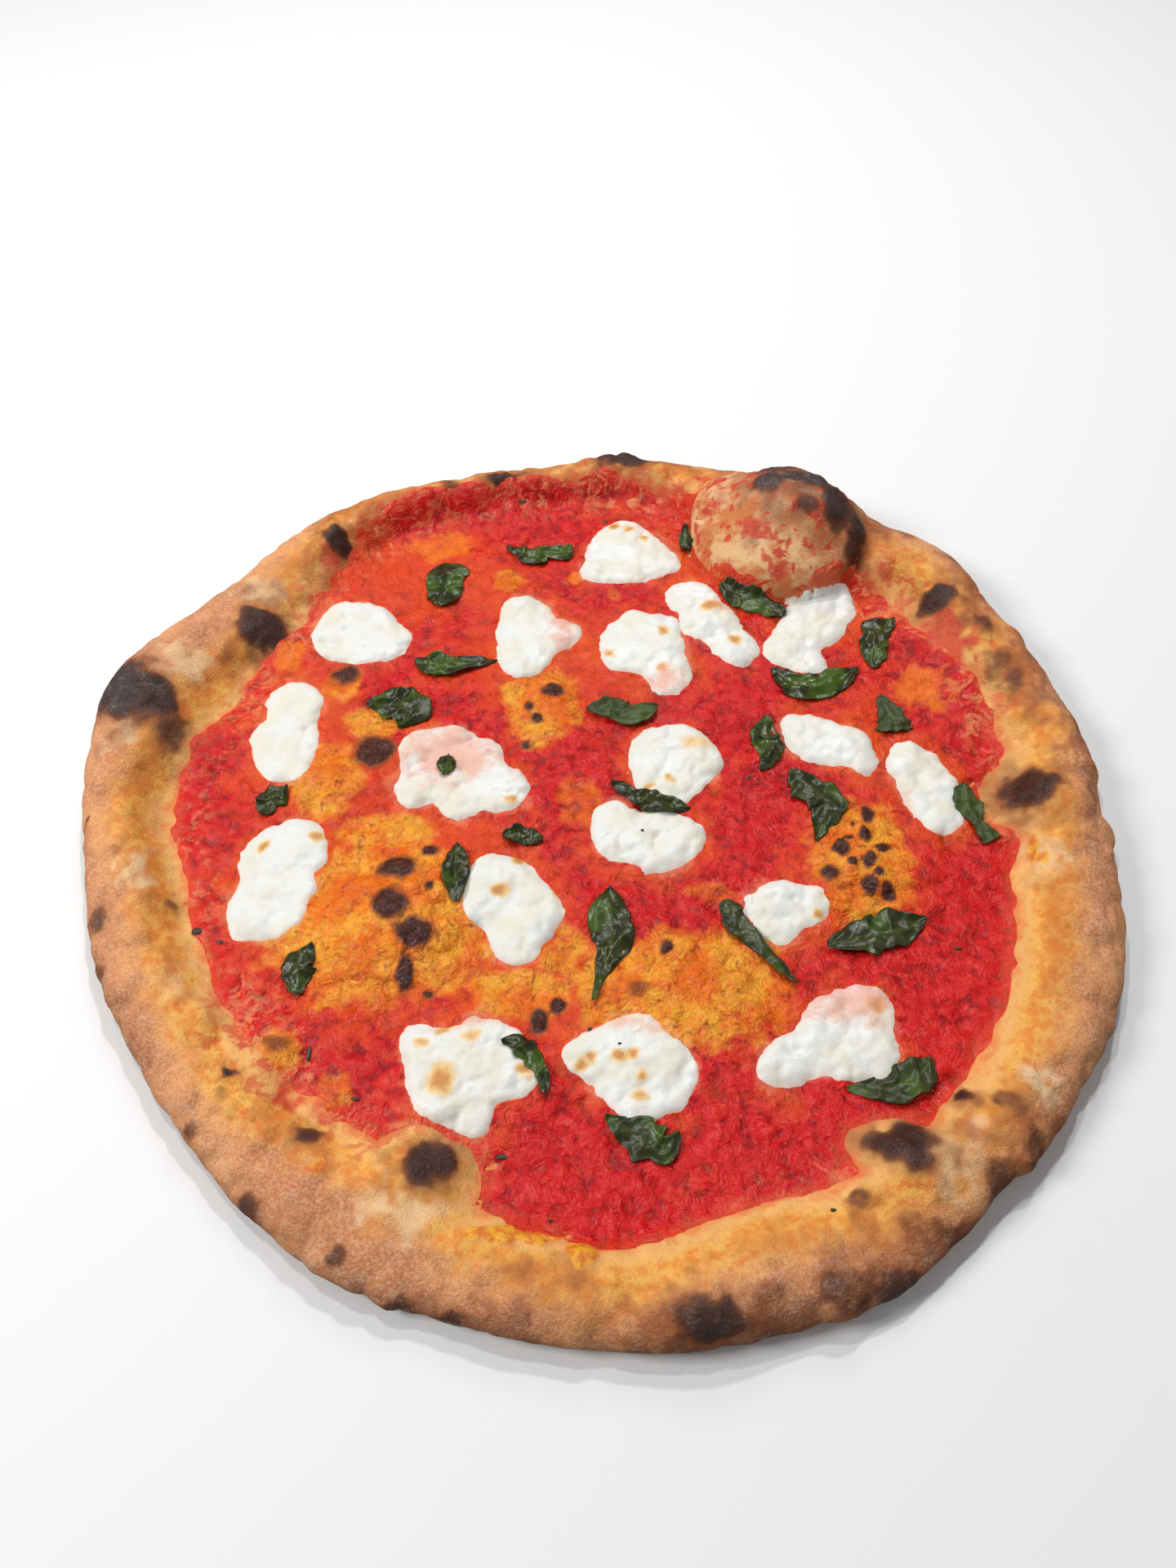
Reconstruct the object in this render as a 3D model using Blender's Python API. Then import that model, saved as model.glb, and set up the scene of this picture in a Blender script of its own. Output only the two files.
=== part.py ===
"""Margherita pizza of the Neapolitan kind, modelled in Blender 4.5: blender --background --python part.py

Metres, +Z up. The pizza lies on z = 0, and the origin is the middle of its footprint. Its pieces are the crust
(one solid: thin base, puffed rim and dough bubbles), the sauce spread on it, the melted lumps of mozzarella and the
wilted basil leaves. Lengths in the constants and tables are millimetres, and angles are degrees from +X.
"""

import math

import bmesh
import bpy
from mathutils import Vector
from mathutils.bvhtree import BVHTree

MM = 0.001

# ---- Driving dimensions --------------------------------------------------------------------------------------------
SEGMENTS = 100  # round the pizza
BASE_THICKNESS = 4.0
SAUCE_THICKNESS = 1.4
SAUCE_EDGE_THICKNESS = 0.5
GAP = 0.35  # left between neighbouring pieces
CLEAR_RADIUS = 3.5  # a topping keeps clear of everything this near to each of its points

# The rim's outer radius and the radius where it rises from the base, every 10 degrees, and its height, every 15.
RIM_RADIUS = (
    153, 157, 156, 157, 161, 160, 161, 159, 158, 155, 153, 153,
    156, 161, 159, 161, 168, 167, 160, 155, 154, 152, 151, 151.5,
    152.5, 152, 152, 154, 155, 155.5, 157, 154.5, 155.5, 156, 157.5, 154.5,
)
RIM_FOOT = (
    127, 129, 130, 131, 131, 115, 98, 112, 134, 136, 135, 136,
    138, 134, 126, 124, 129, 135, 135, 130, 124, 122, 123, 121,
    117, 119, 122, 125, 122, 122, 125, 127, 126, 124, 122, 123,
)
RIM_HEIGHT = (
    17, 16, 18, 20, 18, 16, 15, 15, 18, 16, 16, 19,
    16, 14, 14, 14, 14, 14, 14, 14, 14, 15, 15, 16,
)

# The crust's section. Rings on the base are shares of the way out to the rim's foot. Rings over the rim are
# (share of the rim's width, share of its height, share of the bubbles' puffing).
BASE_RINGS = (0.0, 0.18, 0.34, 0.49, 0.63, 0.76, 0.89)
RIM_RINGS = (
    (0.0, 0.0, 1.0), (0.12, 0.24, 1.0), (0.26, 0.62, 1.0), (0.40, 0.90, 1.0), (0.55, 1.0, 1.0),
    (0.72, 0.94, 1.0), (0.87, 0.76, 0.8), (0.97, 0.48, 0.4), (1.0, 0.2, 0.1),
)
RIM_UNDERCUT = ((0.97, 1.2), (0.84, 0.0))  # (share of the rim's width, height)
UNDERSIDE_RINGS = (0.6, 0.0)
SAUCE_RIM_RINGS = 2  # the sauce climbs over this many of the rim's rings

# ---- Dough bubbles: (x, y, half length, half width, rise above the dough around it, turn) --------------------------
BUBBLES = (
    (65, 117, 29, 27, 18, 0),  # the one great bubble, on the inner side of the rim
    (-152, 42, 14, 13, 6, 100),
    (-135, 25, 14, 11, 8, 70),
    (-113, 64, 13, 11, 6, 30),
    (-93, 104, 14, 12, 6, 60),
    (-35, 134, 14, 11, 4, 0),
    (9, 143, 14, 11, 4, 0),
    (117, 60, 26, 12, 6, 103),
    (112, 76, 10, 9, 3, 0),
    (130, -3, 14, 11, 6, 85),
    (74, -107, 16, 14, 7, 20),
    (-48, -110, 17, 13, 7, -15),
    (26, -143, 15, 12, 4, 0),
    (-90, -80, 12, 11, 6, 0),
    (-72, -89, 10, 9, 5, 0),
    (-62, -40, 30, 25, 6, 40),
    (24, -61, 25, 20, 5, -10),
    (77, -19, 22, 17, 6, 95),
    (-20, 39, 15, 13, 4, 0),
    (-86, 50, 10, 9, 5, 0),
    (-88, 10, 13, 10, 4, 90),
    (-33, 94, 9, 8, 4, 0),
)

# ---- Mozzarella: each piece is a few lumps that ran together, (x, y, radius) ----------------------------------------
MOZZARELLA_HEIGHT = 3.6
LUMP_BLEND = 0.55  # how sharply lumps stay apart, per mm
MOZZARELLA_SEGMENTS = 18
MOZZARELLA = (
    ((-84, 72, 13.5), (-90, 70, 9), (-73, 68, 7.5)),
    ((-26, 80, 9.5), (-25, 69, 10), (-26, 60, 8.5), (-13, 72, 6)),
    ((9, 110, 15), (-1, 102, 6), (24, 107, 5), (7, 120, 6)),
    ((15, 69, 13.5), (7, 62, 7), (24, 55, 7), (22, 50, 4)),
    ((31, 88, 8.5), (37, 77, 9.5), (46, 66, 8)),
    ((79, 84, 9.5), (71, 75, 11), (63, 65, 8), (71, 58, 5)),
    ((-101, 40, 9.5), (-102, 27, 11), (-99, 17, 8)),
    ((-58, 8, 8), (-44, 4, 8.5), (-31, 7, 9), (-58, 24, 7), (-48, 26, 7)),
    ((22, 20, 13.5), (20, 11, 9), (30, 17, 7)),
    ((16, -12, 11.5), (5, -11, 8), (24, -10, 6), (3, -2, 6)),
    ((-94, -13, 11), (-100, -19, 8), (-99, -35, 11), (-90, -28, 5)),
    ((-30, -26, 10), (-24, -35, 12), (-26, -46, 7), (-33, -33, 7)),
    ((51, -34, 8.5), (60, -34, 6.5), (52, -42, 5), (46, -35, 5)),
    ((68, 26, 9), (79, 24, 8), (63, 31, 5), (83, 18, 5)),
    ((98, 17, 8), (102, 7, 9), (105, -2, 7)),
    ((-40, -86, 13), (-28, -83, 10), (-49, -78, 7), (-34, -98, 5), (-35, -73, 5)),
    ((5, -81, 11), (15, -85, 10.5), (8, -92, 6), (-6, -79, 5), (9, -73, 5)),
    ((65, -74, 12), (51, -81, 7), (73, -80, 7), (45, -84, 4), (72, -65, 6)),
)
# The section of a piece, from the middle of its underside to its crown: (share of the way out, share of its height).
MOZZARELLA_RINGS = ((0.0, 0.0), (0.5, 0.0), (0.96, 0.0), (1.0, 0.3), (0.88, 0.72), (0.6, 0.94), (0.3, 1.0), (0.0, 1.0))

# ---- Basil: each leaf is a ribbon along its rib, (x, y, half width) -------------------------------------------------
LEAF_THICKNESS = 0.9
LEAF_BELLY = 0.8  # height of the fold along the rib
LEAF_TIP = 0.8  # least half width
LEAF_ROWS = 6
BASIL = (
    ((-47, 101, 3), (-54, 97, 7), (-56, 90, 6), (-57, 84, 2)),
    ((-34, 112, 1), (-25, 109, 4), (-19, 111, 3), (-10, 110, 4)),
    ((31, 123, 1), (31.5, 117, 2.5), (31, 112, 2)),
    ((42, 93, 2), (50, 87, 5), (58, 82, 4), (64, 79, 1)),
    ((101, 78, 1), (95, 71, 6), (92, 61, 4), (91, 55, 1)),
    ((57, 56, 2), (64, 49, 5), (74, 49, 6), (86, 56, 1.5)),
    ((-63, 60, 1), (-56, 57, 4.5), (-46, 57, 3), (-35, 59, 1)),
    ((-77, 40, 1), (-69, 40, 7), (-62, 38, 6), (-66, 31, 1)),
    ((-5, 38, 1), (3, 38, 5), (8, 36, 5), (18, 39, 1.5)),
    ((53, 36, 1), (53, 29, 5), (53, 21, 4.5), (50, 14, 1)),
    ((59, 14, 2), (65, 6, 6), (69, 0, 5.5), (64, -13, 1)),
    ((91, 43, 2), (94, 35, 5), (95, 29, 6)),
    ((113, 9, 2), (113, 1, 5), (114, -6, 2), (117, -13, 6)),
    ((-98, 7.5, 1), (-102, 3, 5), (-104, -3, 1.5)),
    ((-52, 16, 1), (-49, 15.5, 4), (-46, 15, 1)),
    ((-30, -11, 2), (-24, -9.5, 3.5), (-18, -12, 1)),
    ((-44, -13, 1), (-44, -22, 4.5), (-43, -34, 1)),
    ((3, 9, 1.5), (10, 4, 3.5), (18, 1.5, 3.5), (27, 0, 1)),
    ((2, -28, 1), (2, -38, 6), (2, -47, 5), (-1, -56, 2), (-3, -64, 0.8)),
    ((36, -32, 2), (38, -38, 3.5), (46, -49, 2.5), (54, -59, 1.5)),
    ((64, -47, 2), (74, -45, 6), (83, -43, 6), (93, -39, 1)),
    ((-83, -47, 1), (-86, -53, 5), (-86, -58, 4.5), (-85, -63, 1)),
    ((-28, -76, 1), (-22, -78, 4), (-17, -84, 2), (-16, -91, 1)),
    ((0, -97, 1), (9, -103, 6), (15, -106, 4), (19, -101, 1)),
    ((64, -89, 1), (75, -89, 4), (83, -86, 5), (88, -81, 1)),
)

# ---- Colours, as linear RGB -----------------------------------------------------------------------------------------
CRUST_COLOUR = (0.70, 0.40, 0.20, 1.0)
SAUCE_COLOUR = (0.60, 0.04, 0.03, 1.0)
MOZZARELLA_COLOUR = (0.86, 0.85, 0.78, 1.0)
BASIL_COLOUR = (0.05, 0.10, 0.02, 1.0)


def clear_scene():
    for obj in list(bpy.data.objects):
        bpy.data.objects.remove(obj)


def material(name, colour, roughness):
    made = bpy.data.materials.new(name)
    made.use_nodes = True
    shader = made.node_tree.nodes["Principled BSDF"]
    shader.inputs["Base Color"].default_value = colour
    shader.inputs["Roughness"].default_value = roughness
    return made


# ---- Meshes made of rings -------------------------------------------------------------------------------------------
def band(bm, inner, outer):
    """Triangles between two rings of vertices. A ring of one vertex is a pole."""
    count = max(len(inner), len(outer))
    for k in range(count):
        a = inner[k % len(inner)]
        b = inner[(k + 1) % len(inner)]
        c = outer[(k + 1) % len(outer)]
        d = outer[k % len(outer)]
        if a is not b:
            bm.faces.new((a, b, c))
        if c is not d:
            bm.faces.new((a, c, d))


def ring(bm, points):
    """Vertices at the points, which are in mm, or just one vertex where the points all meet."""
    if (points[0] - points[len(points) // 2]).length < 0.01:
        points = points[:1]
    return [bm.verts.new(point * MM) for point in points]


def add_object(name, bm, parent, finish):
    """Closes the bmesh's business: outward faces, smooth shading, one named object in its material."""
    bmesh.ops.recalc_face_normals(bm, faces=bm.faces)
    mesh = bpy.data.meshes.new(name)
    bm.to_mesh(mesh)
    bm.free()
    mesh.shade_smooth()
    mesh.materials.append(finish)
    obj = bpy.data.objects.new(name, mesh)
    obj.parent = parent
    bpy.context.collection.objects.link(obj)
    return obj


# ---- Crust ----------------------------------------------------------------------------------------------------------
def around(table, angle):
    """The table's value at an angle in radians, on a cubic curve through its evenly spaced entries."""
    place = (angle % math.tau) / math.tau * len(table)
    first = int(place)
    t = place - first
    a, b, c, d = (table[(first + k) % len(table)] for k in (-1, 0, 1, 2))
    bend = (2 * a - 5 * b + 4 * c - d) * t * t + (3 * b - a - 3 * c + d) * t**3
    return b + ((c - a) * t + bend) / 2


def puffing(x, y):
    """How far the dough bubbles raise the dough at a place, in mm. Each is a soft bump, stretched and turned."""
    total = 0.0
    for cx, cy, half_length, half_width, rise, turn in BUBBLES:
        swing = math.radians(turn)
        along = ((x - cx) * math.cos(swing) + (y - cy) * math.sin(swing)) / half_length
        across = ((y - cy) * math.cos(swing) - (x - cx) * math.sin(swing)) / half_width
        total += rise * max(0.0, 1 - along**2 - across**2)
    return total


def crust_ring(radius_at, height_at, puff_share):
    """Points round the pizza, in mm, raised by a share of the bubbles' puffing."""
    points = []
    for k in range(SEGMENTS):
        angle = math.tau * k / SEGMENTS
        x = radius_at(angle) * math.cos(angle)
        y = radius_at(angle) * math.sin(angle)
        points.append(Vector((x, y, height_at(angle) + puff_share * puffing(x, y))))
    return points


def base_ring(share, height, puff_share):
    return crust_ring(lambda angle: share * around(RIM_FOOT, angle), lambda angle: height, puff_share)


def rim_radius(angle, share):
    foot = around(RIM_FOOT, angle)
    return foot + share * (around(RIM_RADIUS, angle) - foot)


def rim_ring(width_share, height_share, puff_share):
    def height_at(angle):
        return BASE_THICKNESS + height_share * (around(RIM_HEIGHT, angle) - BASE_THICKNESS)

    return crust_ring(lambda angle: rim_radius(angle, width_share), height_at, puff_share)


def undercut_ring(width_share, height):
    return crust_ring(lambda angle: rim_radius(angle, width_share), lambda angle: height, 0.0)


def crust_top_rings():
    """From the middle of the pizza, over the base and the rim, to just above the table."""
    rings = [base_ring(share, BASE_THICKNESS, 1.0) for share in BASE_RINGS]
    return rings + [rim_ring(*stop) for stop in RIM_RINGS]


def make_crust(pizza, finish, top_rings):
    underside = [undercut_ring(*stop) for stop in RIM_UNDERCUT]
    underside += [base_ring(share, 0.0, 0.0) for share in UNDERSIDE_RINGS]
    bm = bmesh.new()
    rings = [ring(bm, points) for points in top_rings + underside]
    for inner, outer in zip(rings, rings[1:]):
        band(bm, inner, outer)
    return add_object("crust", bm, pizza, finish)


# ---- Sauce ----------------------------------------------------------------------------------------------------------
def make_sauce(pizza, finish, top_rings):
    """A layer over the base and the foot of the rim, following the dough at an even gap."""
    covered = top_rings[: len(BASE_RINGS) + SAUCE_RIM_RINGS]
    bm = bmesh.new()
    lower = [ring(bm, [point + Vector((0, 0, GAP)) for point in points]) for points in covered]
    upper = []
    for index, points in enumerate(covered):
        thickness = SAUCE_THICKNESS if index < len(covered) - 1 else SAUCE_EDGE_THICKNESS
        upper.append(ring(bm, [point + Vector((0, 0, GAP + thickness)) for point in points]))
    for rings in (lower, upper):
        for inner, outer in zip(rings, rings[1:]):
            band(bm, inner, outer)
    band(bm, lower[-1], upper[-1])
    return add_object("sauce", bm, pizza, finish)


# ---- Laying things on the pizza -------------------------------------------------------------------------------------
def surface_of(obj):
    """A tree of the object's mesh, for finding its top from above."""
    return BVHTree.FromObject(obj, bpy.context.evaluated_depsgraph_get())


def highest_near(surfaces, x, y):
    """The highest point of anything already laid within CLEAR_RADIUS of a place, in mm."""
    best = 0.0
    for reach in (0.0, 0.5 * CLEAR_RADIUS, CLEAR_RADIUS):
        for k in range(10 if reach else 1):
            angle = math.tau * k / 10
            start = Vector((x + reach * math.cos(angle), y + reach * math.sin(angle), 1000.0)) * MM
            for surface in surfaces:
                hit = surface.ray_cast(start, Vector((0, 0, -1)))[0]
                if hit:
                    best = max(best, hit.z / MM)
    return best


# ---- Mozzarella -----------------------------------------------------------------------------------------------------
def outside_lumps(lumps, x, y):
    """How far a place lies outside the run-together lumps, in mm. It is below 0 inside them."""
    total = sum(math.exp(-LUMP_BLEND * (math.hypot(x - cx, y - cy) - r)) for cx, cy, r in lumps)
    return -math.log(total) / LUMP_BLEND


def edge_distance(lumps, cx, cy, angle):
    """The way from a piece's middle out to its edge in one direction, found by halving."""
    near, far = 0.0, 60.0
    while far - near > 0.01:
        middle = (near + far) / 2
        if outside_lumps(lumps, cx + middle * math.cos(angle), cy + middle * math.sin(angle)) > 0:
            far = middle
        else:
            near = middle
    return near


def make_mozzarella(name, lumps, pizza, finish, surfaces):
    """A low dome with a rounded edge."""
    area = sum(r * r for _, _, r in lumps)
    cx = sum(x * r * r for x, _, r in lumps) / area
    cy = sum(y * r * r for _, y, r in lumps) / area
    angles = [math.tau * k / MOZZARELLA_SEGMENTS for k in range(MOZZARELLA_SEGMENTS)]
    reaches = [edge_distance(lumps, cx, cy, angle) for angle in angles]
    bm = bmesh.new()
    rings = []
    for out, up in MOZZARELLA_RINGS:
        points = []
        for angle, reach in zip(angles, reaches):
            x = cx + out * reach * math.cos(angle)
            y = cy + out * reach * math.sin(angle)
            points.append(Vector((x, y, highest_near(surfaces, x, y) + GAP + up * MOZZARELLA_HEIGHT)))
        rings.append(ring(bm, points))
    for inner, outer in zip(rings, rings[1:]):
        band(bm, inner, outer)
    return add_object(name, bm, pizza, finish)


# ---- Basil ----------------------------------------------------------------------------------------------------------
def rib_at(stations, share):
    """(x, y, half width) at a share of the way along a leaf, on straight runs between its stations."""
    place = min(1.0, max(0.0, share)) * (len(stations) - 1)
    first = min(int(place), len(stations) - 2)
    t = place - first
    return [a + (b - a) * t for a, b in zip(stations[first], stations[first + 1])]


def leaf_row(stations, share, surfaces):
    """The points round a leaf's section: three along the underside, then three back along the top."""
    x, y, half = rib_at(stations, share)
    ahead = rib_at(stations, share + 0.05)
    behind = rib_at(stations, share - 0.05)
    across = Vector((behind[1] - ahead[1], ahead[0] - behind[0], 0)).normalized() * max(half, LEAF_TIP)
    points = []
    for side, rise in ((-1, 0), (0, 0), (1, 0), (1, 1), (0, 1), (-1, 1)):
        place = Vector((x, y, 0)) + side * across
        place.z = highest_near(surfaces, place.x, place.y) + GAP + rise * LEAF_THICKNESS
        if side == 0:
            place.z += rise * LEAF_BELLY
        points.append(place)
    return points


def make_leaf(name, stations, pizza, finish, surfaces):
    """A thin ribbon, highest along its rib."""
    bm = bmesh.new()
    shares = [index / (LEAF_ROWS - 1) for index in range(LEAF_ROWS)]
    rows = [[bm.verts.new(point * MM) for point in leaf_row(stations, share, surfaces)] for share in shares]
    for row, following in zip(rows, rows[1:]):
        band(bm, row, following)
    for end in (rows[0], rows[-1]):
        bm.faces.new((end[0], end[1], end[4], end[5]))
        bm.faces.new((end[1], end[2], end[3], end[4]))
    bmesh.ops.triangulate(bm, faces=bm.faces)
    return add_object(name, bm, pizza, finish)


# ---- The whole ------------------------------------------------------------------------------------------------------
def footprint_middle(obj):
    """The middle of the object's bounding box in plan, in metres."""
    xs = [corner[0] for corner in obj.bound_box]
    ys = [corner[1] for corner in obj.bound_box]
    return (min(xs) + max(xs)) / 2, (min(ys) + max(ys)) / 2


def main():
    clear_scene()
    pizza = bpy.data.objects.new("pizza", None)
    bpy.context.collection.objects.link(pizza)
    baked_dough = material("baked_dough", CRUST_COLOUR, 0.8)
    tomato = material("tomato", SAUCE_COLOUR, 0.35)
    cheese = material("cheese", MOZZARELLA_COLOUR, 0.4)
    leaf_green = material("leaf_green", BASIL_COLOUR, 0.4)

    top_rings = crust_top_rings()
    crust = make_crust(pizza, baked_dough, top_rings)
    laid = [crust, make_sauce(pizza, tomato, top_rings)]
    bpy.context.view_layer.update()
    surfaces = [surface_of(obj) for obj in laid]
    for number, lumps in enumerate(MOZZARELLA, start=1):
        piece = make_mozzarella(f"mozzarella_{number:02d}", lumps, pizza, cheese, surfaces)
        bpy.context.view_layer.update()
        surfaces.append(surface_of(piece))
    for number, stations in enumerate(BASIL, start=1):
        leaf = make_leaf(f"basil_{number:02d}", stations, pizza, leaf_green, surfaces)
        bpy.context.view_layer.update()
        surfaces.append(surface_of(leaf))

    middle_x, middle_y = footprint_middle(crust)
    pizza.location = (-middle_x, -middle_y, 0)


main()
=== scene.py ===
# %% [markdown]
# # A margherita pizza
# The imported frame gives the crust, the sauce, the lumps of mozzarella and the basil as plain solids. This
# lesson gives each of them the surface of the real thing. The order is that of a cook: dough, sauce,
# cheese, leaves. Tables are in millimetres from the pizza's working centre, which lies a little off the
# middle of its footprint.

import math

import bpy
import numpy as np
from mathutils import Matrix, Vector
from mathutils.bvhtree import BVHTree


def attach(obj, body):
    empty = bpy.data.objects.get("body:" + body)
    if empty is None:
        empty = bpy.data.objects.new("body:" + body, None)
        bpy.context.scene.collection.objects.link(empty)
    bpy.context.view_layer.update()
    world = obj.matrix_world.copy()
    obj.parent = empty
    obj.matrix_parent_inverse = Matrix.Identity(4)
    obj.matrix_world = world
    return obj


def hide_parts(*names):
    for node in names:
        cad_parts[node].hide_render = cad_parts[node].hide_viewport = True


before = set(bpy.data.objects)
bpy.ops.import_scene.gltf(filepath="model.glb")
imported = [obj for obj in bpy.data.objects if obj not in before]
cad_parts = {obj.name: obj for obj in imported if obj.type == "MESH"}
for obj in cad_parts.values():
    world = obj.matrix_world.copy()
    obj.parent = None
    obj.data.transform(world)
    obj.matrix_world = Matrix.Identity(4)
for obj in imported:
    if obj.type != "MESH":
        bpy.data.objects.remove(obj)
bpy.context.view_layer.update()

MM = 0.001
CENTRE = np.array((4.743, -0.944))  # the working centre, in mm from the frame's origin

# %% [markdown]
# ## Measures
# An oval is (x, y, width, height, strength). Each table names one thing that baking did to the dough.

# %% Tables
SAUCE_EDGE = (
    127, 132, 132, 131, 132, 137, 143, 142, 146, 134, 126, 129,
    133, 126, 124, 123, 119, 126, 129, 125, 129, 130, 128, 126,
)  # radius of the sauce's edge every 15 degrees from +X
GREAT_BUBBLE = (65, 117, 29, 27)  # middle, half length, half width
INWARD = np.array((-0.49, -0.87))  # from the great bubble towards the middle of the pizza
# Dough that the sauce leaves bare: middle, half length, half width.
BARE = ((65, 117, 32, 29), (-48, -112, 15, 12), (75, -107, 12, 10), (131, 3, 13, 12))

CHAR = (
    (-151, 36, 17, 20, 1.0), (-141, 34, 11, 13, 1.0), (-135, 24, 10, 15, 0.6), (-114, 67, 14, 17, 1.0),
    (-93, 106, 10, 9, 1.0), (-85, 53, 9, 8, 0.9), (-73, 22, 12, 12, 1.0), (-35, 138, 15, 6, 1.0),
    (8, 148, 16, 7, 1.0), (-55, 134, 10, 6, 0.5), (114, 79, 12, 10, 1.0), (127, 65, 8, 10, 0.5),
    (129, 51, 8, 12, 0.5), (133, 44, 8, 8, 0.5), (131, 4, 13, 16, 1.0), (-89, -77, 8, 6, 0.6),
    (-99, -87, 4, 3, 0.9), (-99, -93, 6, 5, 0.4), (-76, -103, 6, 5, 0.8), (-45, -110, 12, 11, 1.0),
    (75, -106, 16, 12, 1.0), (94, -92, 4.5, 3.5, 0.9), (103, -95, 7, 9, 0.5), (62, -119, 5, 5, 0.5),
    (24, -147, 15, 10, 0.8), (58, -139, 18, 9, 0.5), (75, -127, 11, 12, 0.3), (99, -116, 12, 16, 0.5),
    (88, -128, 18, 8, 0.5), (70, -139, 18, 7, 0.75), (110, -106, 9, 10, 0.5), (-144, -42, 7, 9, 0.6),
    (-141, -58, 8, 8, 0.4), (-153, -9, 3, 3, 0.8), (-126, -35, 5, 5, 0.5), (-106, -102, 6, 5, 0.5),
    (-89, -120, 7, 7, 0.6), (-65, -133, 6, 5, 0.6), (-50, -143, 8, 5, 0.5), (-37, -147, 8, 5, 0.5),
    (58, 118, 11, 10, 0.95), (71, 119, 18, 9, 1.0), (81, 110, 11, 18, 1.0), (88, 103, 9, 18, 0.9),
    (63, 128, 18, 8, 0.9), (70, 108, 9, 6, 0.6),
)
LEOPARD = (
    (81, -2, 4, 7, 1.0), (76, -7, 2, 2, 1.0), (79, -11, 4, 5, 1.0), (84, -15, 5, 3, 1.0),
    (79, -20, 4, 5, 1.0), (82, -24, 2.5, 3, 1.0), (78, -28, 4.5, 6, 1.0), (83, -30, 4, 6, 1.0),
    (74, -12, 3, 2, 1.0), (71, -16, 5, 5, 1.0), (74, -21, 3, 3, 1.0), (67, -24, 5, 5, 0.8),
    (-61, -22, 10, 8, 1.0), (-52, -16, 5, 4, 0.9), (-62, -35, 10, 10, 1.0), (-54, -44, 11, 9, 0.9),
    (-56, -56, 5, 12, 1.0), (-51, -29, 3, 4, 0.9), (-49, -62, 3, 3, 0.8), (18, -48, 4, 4, 0.9),
    (9, -61, 8, 5, 0.5), (-19, -70, 5, 7, 1.0), (-13, -65, 4, 4, 1.0), (-16, 46, 8, 5, 1.0),
    (-24, 39, 4, 4.5, 0.9), (-21, 34, 3, 4, 0.8), (-24, 25, 3, 3, 0.8), (-85, 53, 9, 8, 0.9),
    (-73, 22, 12, 12, 1.0), (-89, -77, 8, 6, 0.6),
)
CREAM = (
    (-139, 52, 16, 17, 0.8), (-114, 83, 18, 14, 0.8), (-149, 18, 8, 9, 0.9), (-136, -26, 7, 11, 1.0),
    (-51, -122, 20, 11, 0.9), (88, -108, 14, 16, 0.9), (113, -91, 8, 9, 1.0), (58, 100, 40, 16, 0.8),
    (130, -22, 12, 14, 0.7), (-120, -60, 10, 16, 0.6),
)
STAIN = (
    (116, 62, 12, 28, 1.0), (-84, -91, 9, 12, 0.8), (-72, -97, 5, 5, 0.8), (51, 105, 8, 4, 1.0),
    (76, 105, 5, 5, 1.0), (65, 107, 4, 4, 1.0), (59, 104, 4, 4, 1.0), (61, 101, 4, 3, 1.0),
    (65, 97, 4, 4, 1.0), (72, 96, 5, 4, 1.0), (59, 93, 4, 4, 1.0), (62, 91, 7, 5, 0.8),
    (49, 123, 7, 3, 1.0), (81, 116, 3, 5, 1.0), (40, 119, 4, 7, 0.9), (-95, 100, 10, 8, 0.7),
    (-78, 117, 22, 9, 0.7), (-52, 126, 24, 8, 0.7), (20, 137, 60, 8, 0.7), (94, 95, 16, 22, 0.6),
    (104, 84, 8, 14, 0.7), (129, 40, 6, 12, 0.6), (-88, -82, 16, 12, 0.5), (-70, -95, 20, 10, 0.5),
    (130, 8, 10, 12, 0.6),
)
LACE = (
    (-112, 10, 34, 110, 0.8), (-100, 70, 30, 50, 0.8), (-60, 112, 60, 34, 1.0), (10, 132, 90, 26, 1.0),
    (98, 88, 34, 44, 1.0), (122, 50, 22, 60, 1.0), (124, 0, 16, 30, 0.7), (-92, -76, 40, 46, 1.0),
    (-62, -104, 50, 26, 0.7), (60, -112, 60, 14, 0.5),
)  # where dough and sauce run into each other
TOAST = (
    (-108, 92, 30, 26, 0.6), (-85, 124, 60, 18, 0.8), (-40, 142, 60, 14, 1.0), (12, 151, 60, 12, 1.0),
    (60, 146, 50, 18, 1.0), (76, 116, 46, 32, 1.0), (102, 112, 40, 16, 0.9), (126, 82, 16, 50, 1.0),
    (138, 48, 12, 44, 1.0), (149, 18, 12, 44, 0.9), (142, -8, 16, 26, 0.7), (106, -106, 34, 30, 0.8),
    (82, -130, 54, 18, 0.9), (30, -149, 70, 14, 0.9), (-32, -146, 54, 12, 0.8), (-84, -126, 44, 14, 0.6),
    (-128, -84, 20, 44, 0.5), (-153, -28, 10, 70, 0.4), (-156, 52, 12, 26, 0.7),
    (-10, -136, 26, 10, 0.7), (150, -60, 10, 50, 0.4),
)  # broad browning
POOL = (
    (-58, 114, 24, 15, 1.0), (-104, 61, 11, 15, 0.9), (106, 47, 22, 22, 0.8), (-10, 98, 6, 6, 0.9),
    (5, 90, 6, 6, 0.9), (-30, -60, 20, 8, 0.9),
)
DOME = (
    (77, -20, 30, 42, 1.0), (-64, -40, 64, 52, 1.0), (22, -60, 60, 36, 1.0), (-20, 40, 26, 30, 1.0),
    (-22, -62, 30, 16, 0.8), (-87, 11, 22, 30, 0.9), (-66, -8, 30, 14, 0.8), (-33, 96, 12, 11, 0.8),
    (-86, 50, 14, 14, 0.8), (-90, -80, 16, 14, 0.6), (-72, -89, 11, 11, 0.6), (-8, 3, 15, 20, 0.6),
    (-74, 33, 20, 14, 0.7), (32, -30, 16, 9, 0.5), (-12, -48, 16, 18, 0.6),
)
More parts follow.
